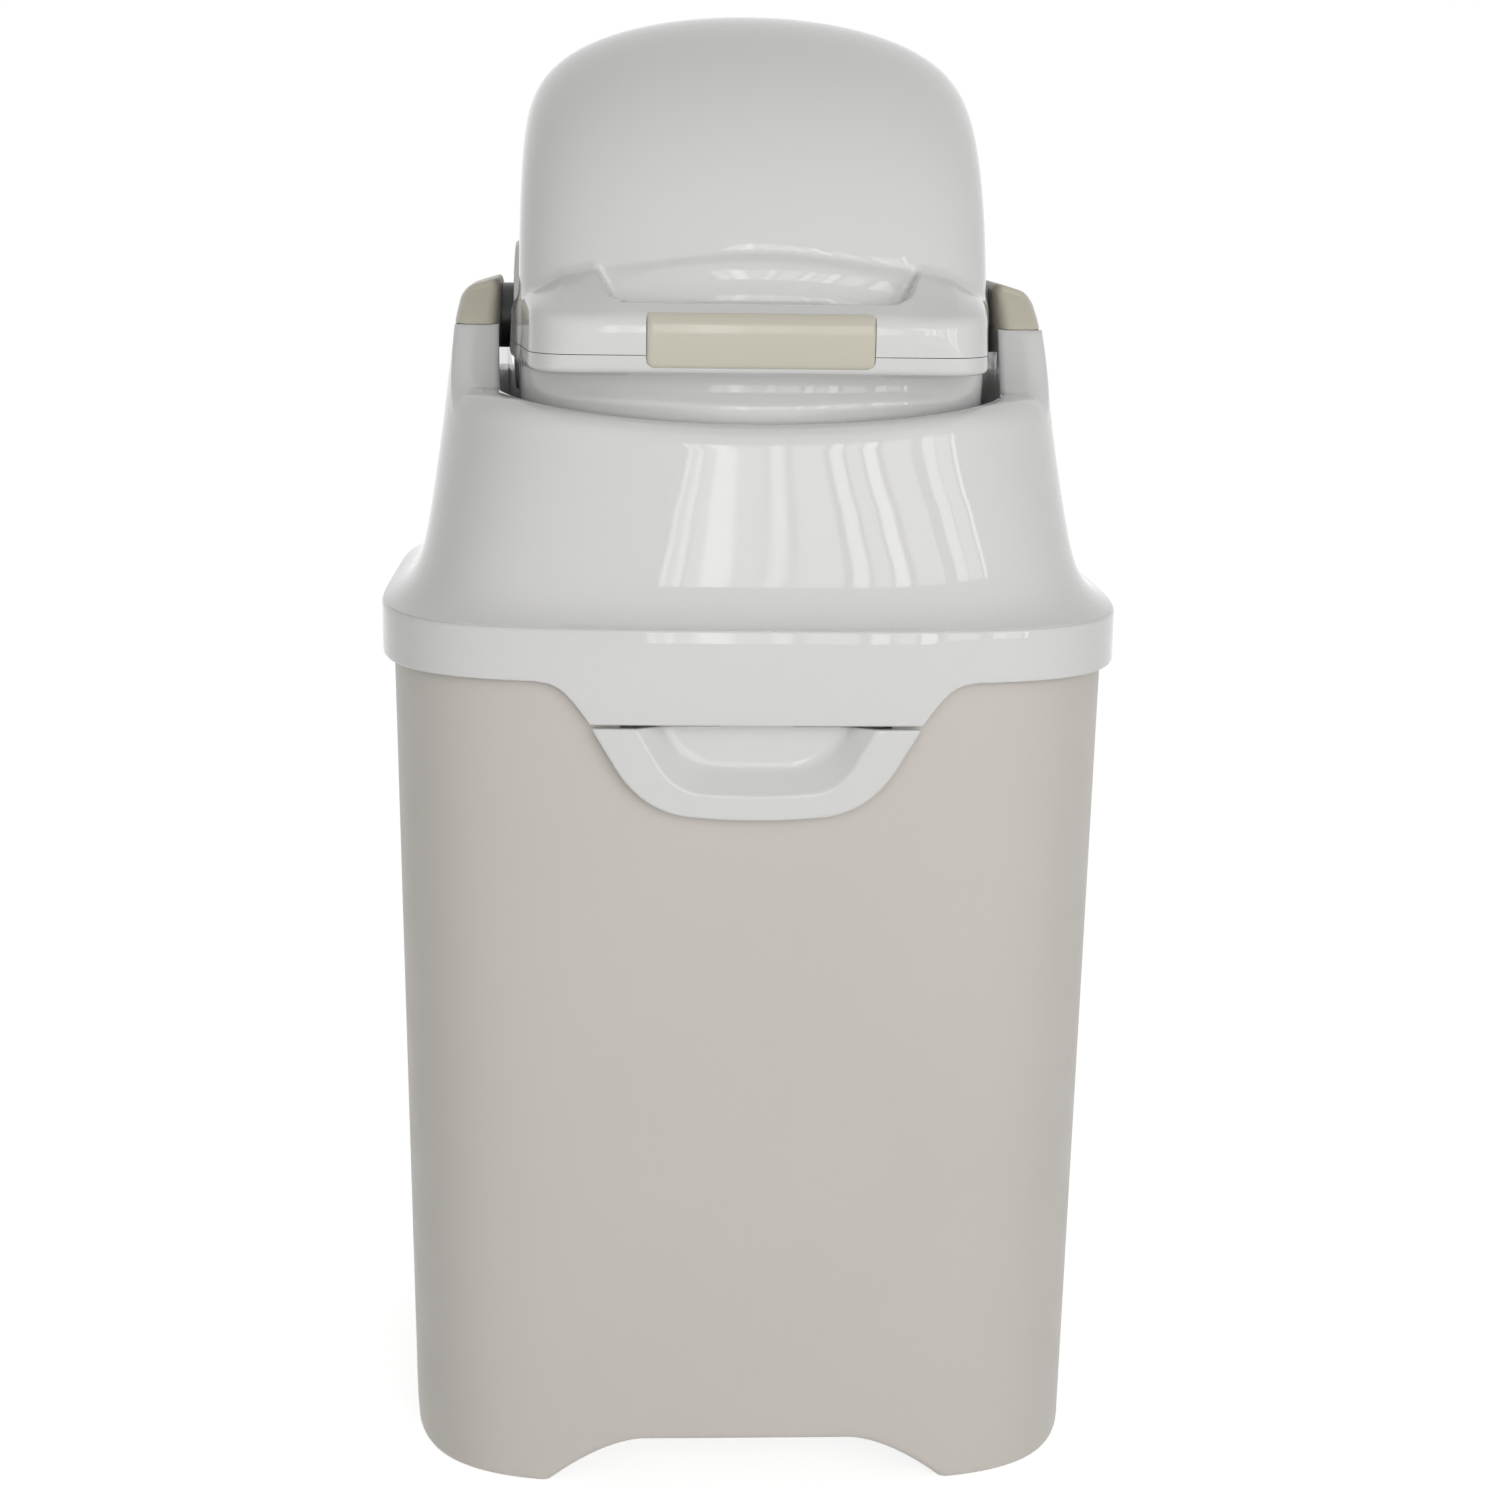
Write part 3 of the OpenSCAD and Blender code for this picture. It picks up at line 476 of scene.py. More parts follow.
@dataclass(frozen=True)
class Finish:
    """A moulded or plated finish."""

    name: str  # What the real material is.
    slot: str  # The record's material slot.
    light: str  # Its lighter colour.
    dark: str  # Its darker colour, in soft clouds.
    roughness: float  # Its mean roughness.
    spread: float  # How far the roughness wanders.
    grain_mm: float  # Size of its surface grain.
    depth_mm: float  # Height of the grain.
    metallic: float = 0.0  # 1 for a metal.

    def material(self) -> Material:
        """Make the finish's node material, once.

        Returns:
            The material.
        """
        if self.name in bpy.data.materials:
            return bpy.data.materials[self.name]
        material = bpy.data.materials.new(self.name)
        tree = blank_tree(material)
        node = partial(add_node, tree)
        at = node("ShaderNodeTexCoord").outputs["Object"]
        clouds = node("ShaderNodeTexNoise", {"Vector": at, "Scale": 1 / CLOUDS, "Detail": 3.0}).outputs["Fac"]
        colours = {"Factor": clouds, "A": linear(self.dark), "B": linear(self.light)}
        tint = node("ShaderNodeMix", colours, data_type="RGBA").outputs["Result"]
        marks = node("ShaderNodeTexNoise", {"Vector": at, "Scale": 1 / MARKS, "Detail": 4.0}).outputs["Fac"]
        span = {"To Min": self.roughness - self.spread, "To Max": self.roughness + self.spread}
        wander = node("ShaderNodeMapRange", {"Value": marks, "From Min": 0.3, "From Max": 0.7, **span}).outputs[0]
        grain = node("ShaderNodeTexNoise", {"Vector": at, "Scale": 1 / (self.grain_mm * MM), "Detail": 2.0})
        high = {"Height": grain.outputs["Fac"], "Distance": self.depth_mm * MM, "Strength": 1.0}
        looks = {"Base Color": tint, "Roughness": wander, "Metallic": self.metallic, "IOR": 1.5}
        relief = node("ShaderNodeBump", high).outputs[0]
        shader = node("ShaderNodeBsdfPrincipled", {**looks, "Normal": relief})
        node("ShaderNodeOutputMaterial", {"Surface": shader.outputs["BSDF"]})
        return material


# Injection-moulded ABS from a polished tool: a deep even gloss with the faintest waviness.
GLOSS_ABS = Finish("moulded gloss ABS, white", "upper_plastic", "d8d8d8", "d5d5d5", 0.04, 0.01, 9.0, 0.002)
# Injection-moulded polypropylene from a fine-eroded tool: satin, with a fine grain that softens highlights.
SATIN_PP = Finish("moulded satin polypropylene, warm grey", "body_plastic", "cac5c0", "c5c0ba", 0.42, 0.04, 0.9, 0.004)
# The same resin in khaki grey, a little smoother.
CAP_PP = Finish("moulded polypropylene, khaki grey", "cap_plastic", "c4c0b0", "bebaaa", 0.34, 0.03, 0.9, 0.003)
# TPE moulded over the handle from a polished tool: nearly as glossy as the shells.
GRIP_TPE = Finish("moulded soft-touch TPE, khaki grey", "grip_rubber", "c6c3b5", "c2bfb0", 0.08, 0.02, 1.4, 0.002)
# Cut EPDM seal: dull dark grey.
SEAL_EPDM = Finish("EPDM seal rubber, dark grey", "seal_rubber", "47474a", "3f3f42", 0.7, 0.05, 1.0, 0.01)
# Acetal bushes coloured black as painted shade for the dark gaps beside the drum, with an even low sheen.
BUSH_AS_GAP_SHADE = Finish("black acetal, painted gap shade", "bush_plastic", "3c3c3d", "343435", 0.3, 0.03, 1.2, 0.003)
# Zinc-plated steel fasteners: bright with a soft brushed haze.
ZINC = Finish("zinc-plated steel", "steel", "b9bcc2", "a9adb4", 0.32, 0.06, 0.5, 0.002, metallic=1.0)
BY_SLOT = {f.slot: f for f in (GLOSS_ABS, SATIN_PP, CAP_PP, GRIP_TPE, SEAL_EPDM, BUSH_AS_GAP_SHADE, ZINC)}


def finish_piece(piece: Piece, finish: Finish, body: Body, nodes: Sequence[str]) -> None:
    """Give a new piece its finish, its body and the solids that it stands for.

    Args:
        piece: The piece.
        finish: Its finish.
        body: The body that it rides on.
        nodes: The solids that it replaces.
    """
    piece.data.materials.clear()
    piece.data.materials.append(finish.material())
    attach(piece, body.value)
    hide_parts(*nodes)
    LOG.info("%s: %d faces, rides on %s", piece.name, len(piece.data.polygons), body.value)


# ---- Geometry Nodes ----


def new_tree(name: str, inputs: dict[str, tuple[str, object]]) -> tuple[Tree, Node]:
    """Start a geometry tree with named inputs.

    Args:
        name: Its name.
        inputs: Input name to its socket type and its default.

    Returns:
        The tree and its input node.
    """
    tree = bpy.data.node_groups.new(name, "GeometryNodeTree")
    tree.interface.new_socket("Geometry", in_out="INPUT", socket_type="NodeSocketGeometry")
    for label, (kind, value) in inputs.items():
        tree.interface.new_socket(label, in_out="INPUT", socket_type=kind).default_value = value
    tree.interface.new_socket("Geometry", in_out="OUTPUT", socket_type="NodeSocketGeometry")
    return tree, add_node(tree, "NodeGroupInput")


def end_tree(tree: Tree, last: Node, material: Material) -> None:
    """Make real geometry of what a tree gives, set its material and put it out.

    Args:
        tree: The tree.
        last: Its last node.
        material: The material.
    """
    real = add_node(tree, "GeometryNodeRealizeInstances", {"Geometry": last.outputs[0]})
    coated = add_node(tree, "GeometryNodeSetMaterial", {"Geometry": real.outputs[0], "Material": material})
    add_node(tree, "NodeGroupOutput", {"Geometry": coated.outputs[0]})


def run_tree(seed: Piece, tree: Tree, values: dict[str, object]) -> Piece:
    """Run a tree on an object and keep the result as its plain mesh.

    Args:
        seed: The object.
        tree: The tree.
        values: Input name to value.

    Returns:
        The same object without the modifier.
    """
    step = seed.modifiers.new("rule", "NODES")
    step.node_group = tree
    for item in tree.interface.items_tree:
        if item.in_out == "INPUT" and item.name in values:
            step[item.identifier] = values[item.name]
    return keep_result(seed, step)


def math_node(tree: Tree, operation: str, *values: Socket | float) -> Socket:
    """Add one step of arithmetic, by Blender's word for it, on sockets or numbers in order."""
    return add_node(tree, "ShaderNodeMath", dict(enumerate(values)), operation=operation).outputs[0]


def screw_tree(material: Material) -> Tree:
    """Build the tree that sets a pan-head screw with a cross recess at every point.

    Args:
        material: What the screws are made of.

    Returns:
        The tree.
    """
    sizes = {"Head Radius": 0.003, "Head Height": 0.002, "Shank Radius": 0.0015, "Length": 0.01, "Thread Pitch": 0.0012}
    inputs = {label: ("NodeSocketFloat", value) for label, value in sizes.items()}
    tree, given = new_tree("pan_head_screws", {**inputs, "Turn": ("NodeSocketVector", (0, 0, 0))})
    node = partial(add_node, tree)
    head_r, head_h, shank_r, length, pitch = (given.outputs[label] for label in sizes)
    words = ("ADD", "SUBTRACT", "MULTIPLY", "DIVIDE", "MINIMUM")
    add, less, times, over, least = (partial(math_node, tree, word) for word in words)
    whole = add(head_h, length)
    end = node("ShaderNodeCombineXYZ", {"Z": whole})
    line = node("GeometryNodeCurvePrimitiveLine", {"End": end.outputs[0]})
    steps = add(times(over(whole, pitch), 4.0), 8.0)
    dense = node("GeometryNodeResampleCurve", {"Curve": line.outputs[0], "Count": steps})
    along = node("GeometryNodeSplineParameter").outputs["Length"]
    # The head: a dome that swells to its full radius over two thirds of its height.
    low = less(1.0, least(over(along, times(head_h, 0.66)), 1.0))
    dome = math_node(tree, "SQRT", less(1.0, times(low, low)))
    head = times(head_r, add(times(dome, 0.4), 0.6))
    # The shank: a saw-tooth thread that tapers away at the tip.
    ridge = times(over(math_node(tree, "PINGPONG", along, times(pitch, 0.5)), pitch), 0.3)
    tip = least(add(times(over(less(whole, along), shank_r), 0.6), 0.25), 1.0)
    shank = times(times(shank_r, tip), less(1.0, ridge))
    gain = times(math_node(tree, "LESS_THAN", along, head_h), less(head, shank))
    ring = node("GeometryNodeCurvePrimitiveCircle", {"Resolution": 20, "Radius": 1.0})
    swept = {"Curve": dense.outputs[0], "Profile Curve": ring.outputs[0], "Scale": add(shank, gain)}
    body = node("GeometryNodeCurveToMesh", {**swept, "Fill Caps": True})
    # The recess: two crossed slots sunk into the head.
    wide, thin, deep = times(head_r, 1.1), times(head_r, 0.26), times(head_h, 1.1)
    cross = node("GeometryNodeMeshBoolean", operation="UNION", solver="MANIFOLD")
    for x, y in ((wide, thin), (thin, wide)):
        box = node("ShaderNodeCombineXYZ", {"X": x, "Y": y, "Z": deep})
        slot = node("GeometryNodeMeshCube", {"Size": box.outputs[0]})
        tree.links.new(slot.outputs[0], cross.inputs["Mesh 2"])
    parts = {"Mesh 1": body.outputs[0], "Mesh 2": cross.outputs[0]}
    sunk = node("GeometryNodeMeshBoolean", parts, operation="DIFFERENCE", solver="MANIFOLD")
    stands = {"Points": given.outputs["Geometry"], "Instance": sunk.outputs[0], "Rotation": given.outputs["Turn"]}
    placed = node("GeometryNodeInstanceOnPoints", stands)
    end_tree(tree, placed, material)
    return tree


def wire_tree(material: Material) -> Tree:
    """Build the tree that draws a round wire along a path.

    Args:
        material: What the wire is made of.

    Returns:
        The tree.
    """
    tree, given = new_tree("round_wire", {"Wire Radius": ("NodeSocketFloat", 0.0006), "Sides": ("NodeSocketInt", 12)})
    node = partial(add_node, tree)
    path = node("GeometryNodeMeshToCurve", {"Mesh": given.outputs["Geometry"]})
    section = {"Resolution": given.outputs["Sides"], "Radius": given.outputs["Wire Radius"]}
    ring = node("GeometryNodeCurvePrimitiveCircle", section)
    swept = {"Curve": path.outputs[0], "Profile Curve": ring.outputs[0], "Fill Caps": True}
    tube = node("GeometryNodeCurveToMesh", swept)
    end_tree(tree, tube, material)
    return tree


def shade_tree() -> Tree:
    """Build the tree that joins a solid's loose triangles and shades it smooth up to an edge angle.

    Returns:
        The tree.
    """
    tree, given = new_tree("smooth_by_edge", {"Edge Angle": ("NodeSocketFloat", math.radians(30))})
    node = partial(add_node, tree)
    whole = node("GeometryNodeMergeByDistance", {"Geometry": given.outputs["Geometry"], "Distance": 0.00002})
    soft = node("GeometryNodeSetShadeSmooth", {"Geometry": whole.outputs[0], "Shade Smooth": True}, domain="FACE")
    turn = node("GeometryNodeInputMeshEdgeAngle").outputs["Unsigned Angle"]
    sharp = math_node(tree, "GREATER_THAN", turn, given.outputs["Edge Angle"])
    split = {"Geometry": soft.outputs[0], "Selection": sharp, "Shade Smooth": False}
    keen = node("GeometryNodeSetShadeSmooth", split, domain="EDGE")
    node("NodeGroupOutput", {"Geometry": keen.outputs[0]})
    return tree


# ---- Sub-assemblies ----


@dataclass
class BinBody:
    """The body on its four feet."""

    top: float = 156.2  # Half width at the rim.
    base: float = 150.0  # Half width at the floor.
    rim_z: float = 370.0  # Height of the rim.
    power: float = PLAN_POWER  # Squareness of its plan.
    wall: float = 3.0  # Its wall.
    skirt: float = 4.5  # Thickness of the wall at the feet.
    arch_h: float = 21.0  # Height of the arches.
    arch_half: float = 88.0  # Half width of an arch on the floor.
    arch_top: float = 45.0  # Half width of an arch's level top.
    floor_z: float = 24.0  # Underside of the floor panel.
    columns: int = 480  # Points round the body.
    flange_y: float = -150.87  # Seat of the latch housing's flange.
    # X and Z of the bosses for the housing's screws.
    boss_places: tuple[tuple[float, float], ...] = ((-64, 309.5), (64, 309.5), (-64, 345.3), (64, 345.3))

    def half(self, z: Array) -> Array:
        """Half width of the body at a height."""
        return self.base + (self.top - self.base) * z / self.rim_z

    def build(self) -> Piece:
        """Loft the wall, with its lower edge following the arches.

        Returns:
            The body's shell.
        """
        t = np.arange(self.columns) * 2 * math.pi / self.columns + math.pi / 4
        one = np.ones_like(t)
        edge = plan_radius(self.base, self.base, self.power, t)
        across = np.minimum(np.abs(edge * np.cos(t)), np.abs(edge * np.sin(t)))
        s = np.clip((across - self.arch_top) / (self.arch_half - self.arch_top), 0, 1)
        foot = self.arch_h * (1 - s**1.7)
        rows: list[tuple[Array, Array]] = []

        def ring(inset: float, z: Array | float) -> None:
            """Add a ring at these heights, set in from the outside."""
            half = self.half(z) - inset
            rows.append((plan_radius(half, half, self.power, t), z * one))

        for share in (0.3, 0.6, 0.8, 0.9, 0.97):
            rows.append((share * edge, self.floor_z * one))
        ring(self.skirt + 0.6, self.floor_z)
        ring(self.skirt + 0.1, self.floor_z - 0.5)
        for part in (0.75, 0.4, 0.1):
            ring(self.skirt, foot + (self.floor_z - 0.6 - foot) * part)
        ring(self.skirt, foot + 0.7)
        ring(self.skirt - 0.3, foot + 0.2)
        ring(self.skirt - 0.9, foot)
        for inset, up in ((2.4, 0.0), (1.5, 0.25), (0.8, 0.8), (0.35, 1.6), (0.1, 2.7), (0.0, 4.0)):
            ring(inset, foot + up)
        start = foot + 4.0
        for part in np.linspace(0, 1, 26)[1:]:
            ring(0.0, start + (self.rim_z - 1.0 - start) * part)
        for inset, down in ((0.12, 0.5), (0.45, 0.12), (0.9, 0.0), (2.2, 0.0), (2.8, 0.3), (3.0, 0.9)):
            ring(inset, self.rim_z - down)
        for z in (300.0, 230.0, 160.0, 90.0, 50.0, 36.0):
            ring(self.wall, z)
        for inset, up in ((3.3, 5.5), (4.6, 2.8), (7.0, 0.9), (10.5, 0.0)):
            ring(inset, self.floor_z + self.wall + up)
        for share in (0.85, 0.6, 0.3):
            rows.append((share * edge, (self.floor_z + self.wall) * one))
        piece = loft("body_shell", round_rings(rows, t))
        liner = box_tool([-61, 147, 339.5], [61, 154, 362.5])
        bosses = [rod_tool(3.6, [x, -153.6, z], [x, self.flange_y, z], 32) for x, z in self.boss_places]
        piece = cut(piece, [liner] + bosses, Work.JOIN)
        side = [(36.3, 303.5), (40.3, 307.5), (56.0, 327.5), (56.0, 353.3)]
        window = prism_tool(side + [(-x, z) for x, z in reversed(side)], -165, -140)
        holes = [rod_tool(1.6, [x, -151.6, z], [x, -140, z], 24) for x, z in self.boss_places]
        return soften(cut(piece, [window, box_tool([-58, 149.5, 342], [58, 167, 360])] + holes), 30)


@dataclass
class Head:
    """The lifting head: band, apron, collar and the two arms."""

    band: float = 161.0  # Half width of the band.
    band_z: float = 359.0  # Its lower edge.
    band_h: float = 22.0  # Its height.
    wall: float = 3.0  # The shell's wall.
    arm: float = 129.7  # Half width across the arms at the pivot.
    lip_half: float = 141.5  # Half depth of the collar at the lip.
    lean: float = 0.13  # Run over rise of the collar's sides.
    flare: float = 8.0  # Height over which the collar flares out.
    power: float = PLAN_POWER  # Squareness of the band.
    collar_power: float = 3.4  # Squareness at the lip.
    mouth_x: float = 110.0  # Half width of the mouth.
    mouth_y: float = 129.5  # Half depth of the mouth.
    mouth_power: float = 4.2  # Squareness of the mouth.
    lip_drop: float = 37.0  # Drop from the pivot to the lip at the front.
    lip_rise: float = 10.0  # Rise of the lip to the corner.
    lip_r: float = 12.0  # Outer rounding of the lip.
    arm_half: float = 22.0  # Half depth of an arm's top.
    arm_up: float = 18.0  # Height of an arm's top over the pivot.
    swoop: float = 53.0  # Length of the curve from an arm's top down to the lip.
    # X and height of the apron's lower edge.
    apron: tuple[tuple[float, ...], tuple[float, ...]] = (
        (0, 68.5, 70.0, 73.8, 79.6, 85.0, 91.0, 97.0),
        (341.3, 341.3, 343.6, 348.9, 355.2, 358.0, 358.95, 359),
    )
    columns: int = 576  # Points round the head.

    def outer(self, t: Array, z: Array) -> Array:
        """Distance from the axis to the collar's outside.

        Args:
            t: Angles round the axis, in radians.
            z: Heights.

        Returns:
            The distances.
        """
        top = self.band_z + self.band_h
        lip_z = PIVOT_Z - self.lip_drop

        def side(half: float, at: float) -> Array:
            """Half width of a side that has this half width at one height."""
            gap = self.band - half - self.lean * (at - top)
            return half + self.lean * (at - z) + gap * np.exp((top - z) / self.flare)

        n = self.power + (self.collar_power - self.power) * smoothstep((z - top) / (lip_z - top))
        return plan_radius(side(self.arm, PIVOT_Z), side(self.lip_half, lip_z - self.lip_r), n, t)

    def lip_height(self, t: Array) -> Array:
        """Height of the lip round the mouth, rising into the arms.

        Args:
            t: Angles round the axis, in radians.

        Returns:
            The heights.
        """
        mouth = plan_radius(self.mouth_x, self.mouth_y, self.mouth_power, t)
        x, y = mouth * np.abs(np.cos(t)), mouth * np.abs(np.sin(t))
        low = PIVOT_Z - self.lip_drop + self.lip_rise * (x / self.mouth_x) ** 2
        lift = 1 - smoothstep((y - self.arm_half) / self.swoop)
        return low + (PIVOT_Z + self.arm_up - low) * lift

    def apron_edge(self, t: Array) -> Array:
        """Height of the lower edge, with the apron at the front."""
        r = plan_radius(self.band, self.band, self.power, t)
        return np.where(np.sin(t) < -0.5, np.interp(np.abs(r * np.cos(t)), *self.apron), self.band_z)

    def build(self) -> Piece:
        """Loft the head as one closed shell.

        Returns:
            The head's shell.
        """
        t = np.arange(self.columns) * 2 * math.pi / self.columns
        one = np.ones_like(t)
        joint = PIVOT_Z - 2
        band_top = self.band_z + self.band_h
        top = self.lip_height(t)
        bend_z = top - self.lip_r
        inner = plan_radius(self.mouth_x, self.mouth_y, self.mouth_power, t)
        band = plan_radius(self.band, self.band, self.power, t)
        bend = self.outer(t, bend_z)
        round_w = np.minimum(self.lip_r, bend - inner - 3 - 0.1)
        low = self.apron_edge(t)
        rows: list[tuple[Array, Array]] = []

        def level(z: Array | float, inset: float = 0.0) -> tuple[Array, Array]:
            """Give the collar's outside at these heights, set in."""
            return self.outer(t, z * one) - inset, z * one

        for out, up in ((-0.9, 0.0), (-0.4, 0.12), (-0.1, 0.45), (0.0, 1.0)):
            rows.append((band + out, low + up))
        for part in np.linspace(0, 1, 8)[1:]:
            rows.append((band, low + 1 + (band_top - 1.4 - low - 1) * part))
        for out, down in ((-0.15, 0.8), (-0.6, 0.25), (-1.3, 0.0)):
            rows.append((band + out, (band_top - down) * one))
        for up in (0.5, 1.2, 2.0, 3.0, 4.2, 5.6, 7.2, 9.0, 11.2, 14, 17.5, 22, 28, 36, 49):
            rows.append(level(band_top + up))
        start = band_top + 49
        for part in np.linspace(0, 1, 10)[1:]:
            rows.append(level(start + (bend_z - start) * part))
        for a in np.radians(np.linspace(0, 90, 13)[1:]):
            rows.append((bend - round_w * (1 - math.cos(a)), bend_z + self.lip_r * math.sin(a)))
        for a in np.radians(np.linspace(0, 90, 8)):
            rows.append((inner + 3 * (1 - math.sin(a)), top - 3 * (1 - math.cos(a))))
        face = [(r, np.minimum(z, joint)) for r, z in rows]
        skirt = (PIVOT_Z - 62) * one
        under = np.minimum(top, joint) - 4
        lift = np.maximum(0, under - bend_z) / self.lip_r
        above = bend - round_w * (1 - np.sqrt(np.maximum(0, 1 - lift * lift)))
        under_r = np.where(under > bend_z, above, self.outer(t, under)) - self.wall
        back = [(inner, skirt), (inner + 3, skirt), (inner + 3, under), (under_r, under)]
        for up in (49, 36, 27, 19, 13, 9, 6, 3.5, 1.5):
            back.append(level(band_top + up, self.wall))
        within = band - self.wall
        back += [(within, (band_top - 1) * one), (within, low + 0.4), (within + 0.5, low)]
        piece = loft("head_collar", round_rings(face + back, t), wrap=True)
        piece = cut(piece, [rod_tool(12.2, [s * 108, 0, PIVOT_Z], [s * 125.8, 0, PIVOT_Z]) for s in (-1, 1)])
        return soften(piece, 34)


@dataclass
class ArmCap:
    """The khaki cap that closes the top of an arm."""

    side: int  # -1 for the left cap, 1 for the right.
    base: float = 497.1  # Its lower face.
    top: float = 517.0  # Its top at the inner edge.
    inner_x: float = 110.0  # Its inner face.
    rise: float = 6.0  # Height over which its top rounds in.

    def build(self, head: Head) -> Piece:
        """Loft level rings that close in to a rounded top.

        Args:
            head: The head, which gives the outer face.

        Returns:
            The cap.
        """
        flat = self.top - self.rise
        low = PIVOT_Z - head.lip_drop + head.lip_rise
        levels = [(self.base, 0.6), (self.base + 0.25, 0.15), (self.base + 0.7, 0.0)]
        levels += [(z, 0.0) for z in np.linspace(self.base + 0.7, flat, 8)[1:]]
        for a in np.radians(np.linspace(0, 90, 10)[1:]):
            levels.append((flat + self.rise * math.sin(a), self.rise * (1 - math.cos(a))))
        t = (np.arange(160) + 0.5) * 2 * math.pi / 160
        c, s = np.cos(t), np.sin(t)
        rings = []
        for z, inset in levels:
            want = (min(z, self.top - 3) - low) / (self.top - low)
            share = 0.5 - math.sin(math.asin(2 * want - 1) / 3)
            depth = head.arm_half + head.swoop * share - inset * 0.6
            out = head.arm + head.lean * (PIVOT_Z - z) - inset * 0.8
            inside = self.inner_x + inset * 0.35
            mid, half = (inside + out) / 2, (out - inside) / 2
            tilt = 0.3 * smoothstep(np.array((z - self.base) / (self.top - self.base)))
            x = mid + half * np.sign(c) * np.abs(c) ** 0.4
            y = depth * np.sign(s) * np.abs(s) ** 0.4
            rings.append(np.stack([self.side * x, self.side * y, z - tilt * (x - self.inner_x)], 1))
        piece = loft("arm_cap_cover_" + ("left" if self.side < 0 else "right"), np.array(rings))
        tool = rod_tool(12.05, [self.side * 105, 0, PIVOT_Z], [self.side * 125.5, 0, PIVOT_Z])
        return soften(cut(piece, [tool]), 34)


@dataclass
class Drum:
    """The rotary drum with its handle."""

    r: float = 132.0  # Largest radius about the pivot.
    half_w: float = 100.5  # Half width.
    crown: float = 5.4  # How much smaller it is at its ends than in its middle.
    wall: float = 3.0  # Its wall.
    split: float = -8.0  # Height of the joint of its shells, from the pivot.
    cove: float = 127.8  # Distance from the pivot to the middle of the upright wall behind the handle.
    cove_drop: float = 17.0  # How much nearer that wall is at cove_x.
    cove_x: float = 83.0  # Where the cove drop is measured.
    reach: float = 155.0  # Distance from the pivot to the handle's front.
    side_x: float = 104.4  # Half length of the handle where it wraps the drum's ends.
    face_top: float = 6.5  # Height of the handle's upright face over the pivot.
    handle_up: float = 15.5  # Half height of the handle.
    bar: float = 10.5  # Thickness of the bar in front of the finger gap.
    gap_half: float = 55.0  # Half width of the finger gap.
    gap_back: float = -89.5  # Y of the finger gap's back.
    powers: tuple[float, float] = (2.1, 8.3)  # Roundness of the barrel's ends and of its edge.
    cove_power: float = 3.1  # How late the upright wall bends away.
    # Upper flute: how far its axis is in front of the wall and below the crest, and its radius.
    over: tuple[float, float, float] = (10.5, 8.5, 13.5)
    # Lower flute: how far its axis is in front of the wall and below the pivot, and its radius.
    under: tuple[float, float, float] = (9.0, 22.0, 12.0)
    axle_ring: tuple[float, float] = (24.0, 33.5)  # Inner and outer radius of the ring round an axle.
    ring_x: tuple[float, float] = (92.0, 104.0)  # Inner and outer end of that ring.
    grip: tuple[float, float] = (46.0, 13.3)  # Half width and half height of the soft grip.
    grip_corner: float = 3.2  # Radius of its corners.
    grip_deep: float = 2.6  # Depth of its seat.
    cup_r: float = 77.2  # Outer radius of the cup's wall, which the lower shell clears.
    step: float = 1.7  # Grid of its surface.

    def barrel(self, p: Array, inset: float = 0.0) -> Array:
        """Distance out of the plain barrel.

        Args:
            p: Points.
            inset: How far its surface is set in.

        Returns:
            The distances, negative inside.
        """
        ends, edge = self.powers
        w = self.half_w - inset
        u = np.abs(p[..., 0]) / w
        r = np.maximum(self.r - inset - self.crown * u * u, 60.0)
        share = np.hypot(p[..., 1], p[..., 2] - PIVOT_Z) / r
        steep = edge * share ** (edge - 1) / r
        lean_in = ends * u ** (ends - 1) / w + steep * share * 2 * self.crown * u / w
        return (u**ends + share**edge - 1) / np.maximum(np.hypot(lean_in, steep), 0.4 / self.r)

    def cove_wall(self, p: Array) -> Array:
        """Distance in front of the upright wall behind the handle.

        Args:
            p: Points.

        Returns:
            The distances, positive in front.
        """
        n, u = self.cove_power, np.abs(p[..., 0]) / self.cove_x
        tilt = self.cove_drop * n * u ** (n - 1) / self.cove_x
        return (self.cove_drop * u**n - p[..., 1] - self.cove) / np.sqrt(1 + tilt * tilt)

    def crest(self, x: Array) -> Array:
        """Height over the pivot of the crease where the barrel meets the upright wall."""
        return np.where(x > 80, np.maximum(22.8 - 0.6 * (x - 80), 8.0), 33.0 - 0.0016 * x * x)

    def flutes(self, p: Array, grow: float = 0.0) -> Array:
        """Distance into the two shallow hollows that fingers use, over and under the handle.

        Args:
            p: Points.
            grow: How much wider they are made.

        Returns:
            The distances, positive inside.
        """
        front, z = self.cove_wall(p), p[..., 2] - PIVOT_Z
        (ahead, below, r), (ahead_2, below_2, r_2) = self.over, self.under
        over = np.hypot(front - ahead, z - self.crest(np.abs(p[..., 0])) + below) - r
        return grow - np.minimum(over, np.hypot(front - ahead_2, z + below_2) - r_2)

    def core(self, p: Array) -> Array:
        """Distance out of the barrel with its fluted front and the rings round its axles.

        Args:
            p: Points.

        Returns:
            The distances, negative inside.
        """
        drum = smooth_max(smooth_max(self.barrel(p), self.cove_wall(p), 1.4), self.flutes(p), 1.4)
        x, rho = np.abs(p[..., 0]), np.hypot(p[..., 1], p[..., 2] - PIVOT_Z)
        ring = smooth_max(smooth_max(rho - self.axle_ring[1], self.axle_ring[0] - rho, 1.5), x - self.ring_x[1], 1.5)
        return smooth_min(drum, np.maximum(ring, self.ring_x[0] - x), 3.0)

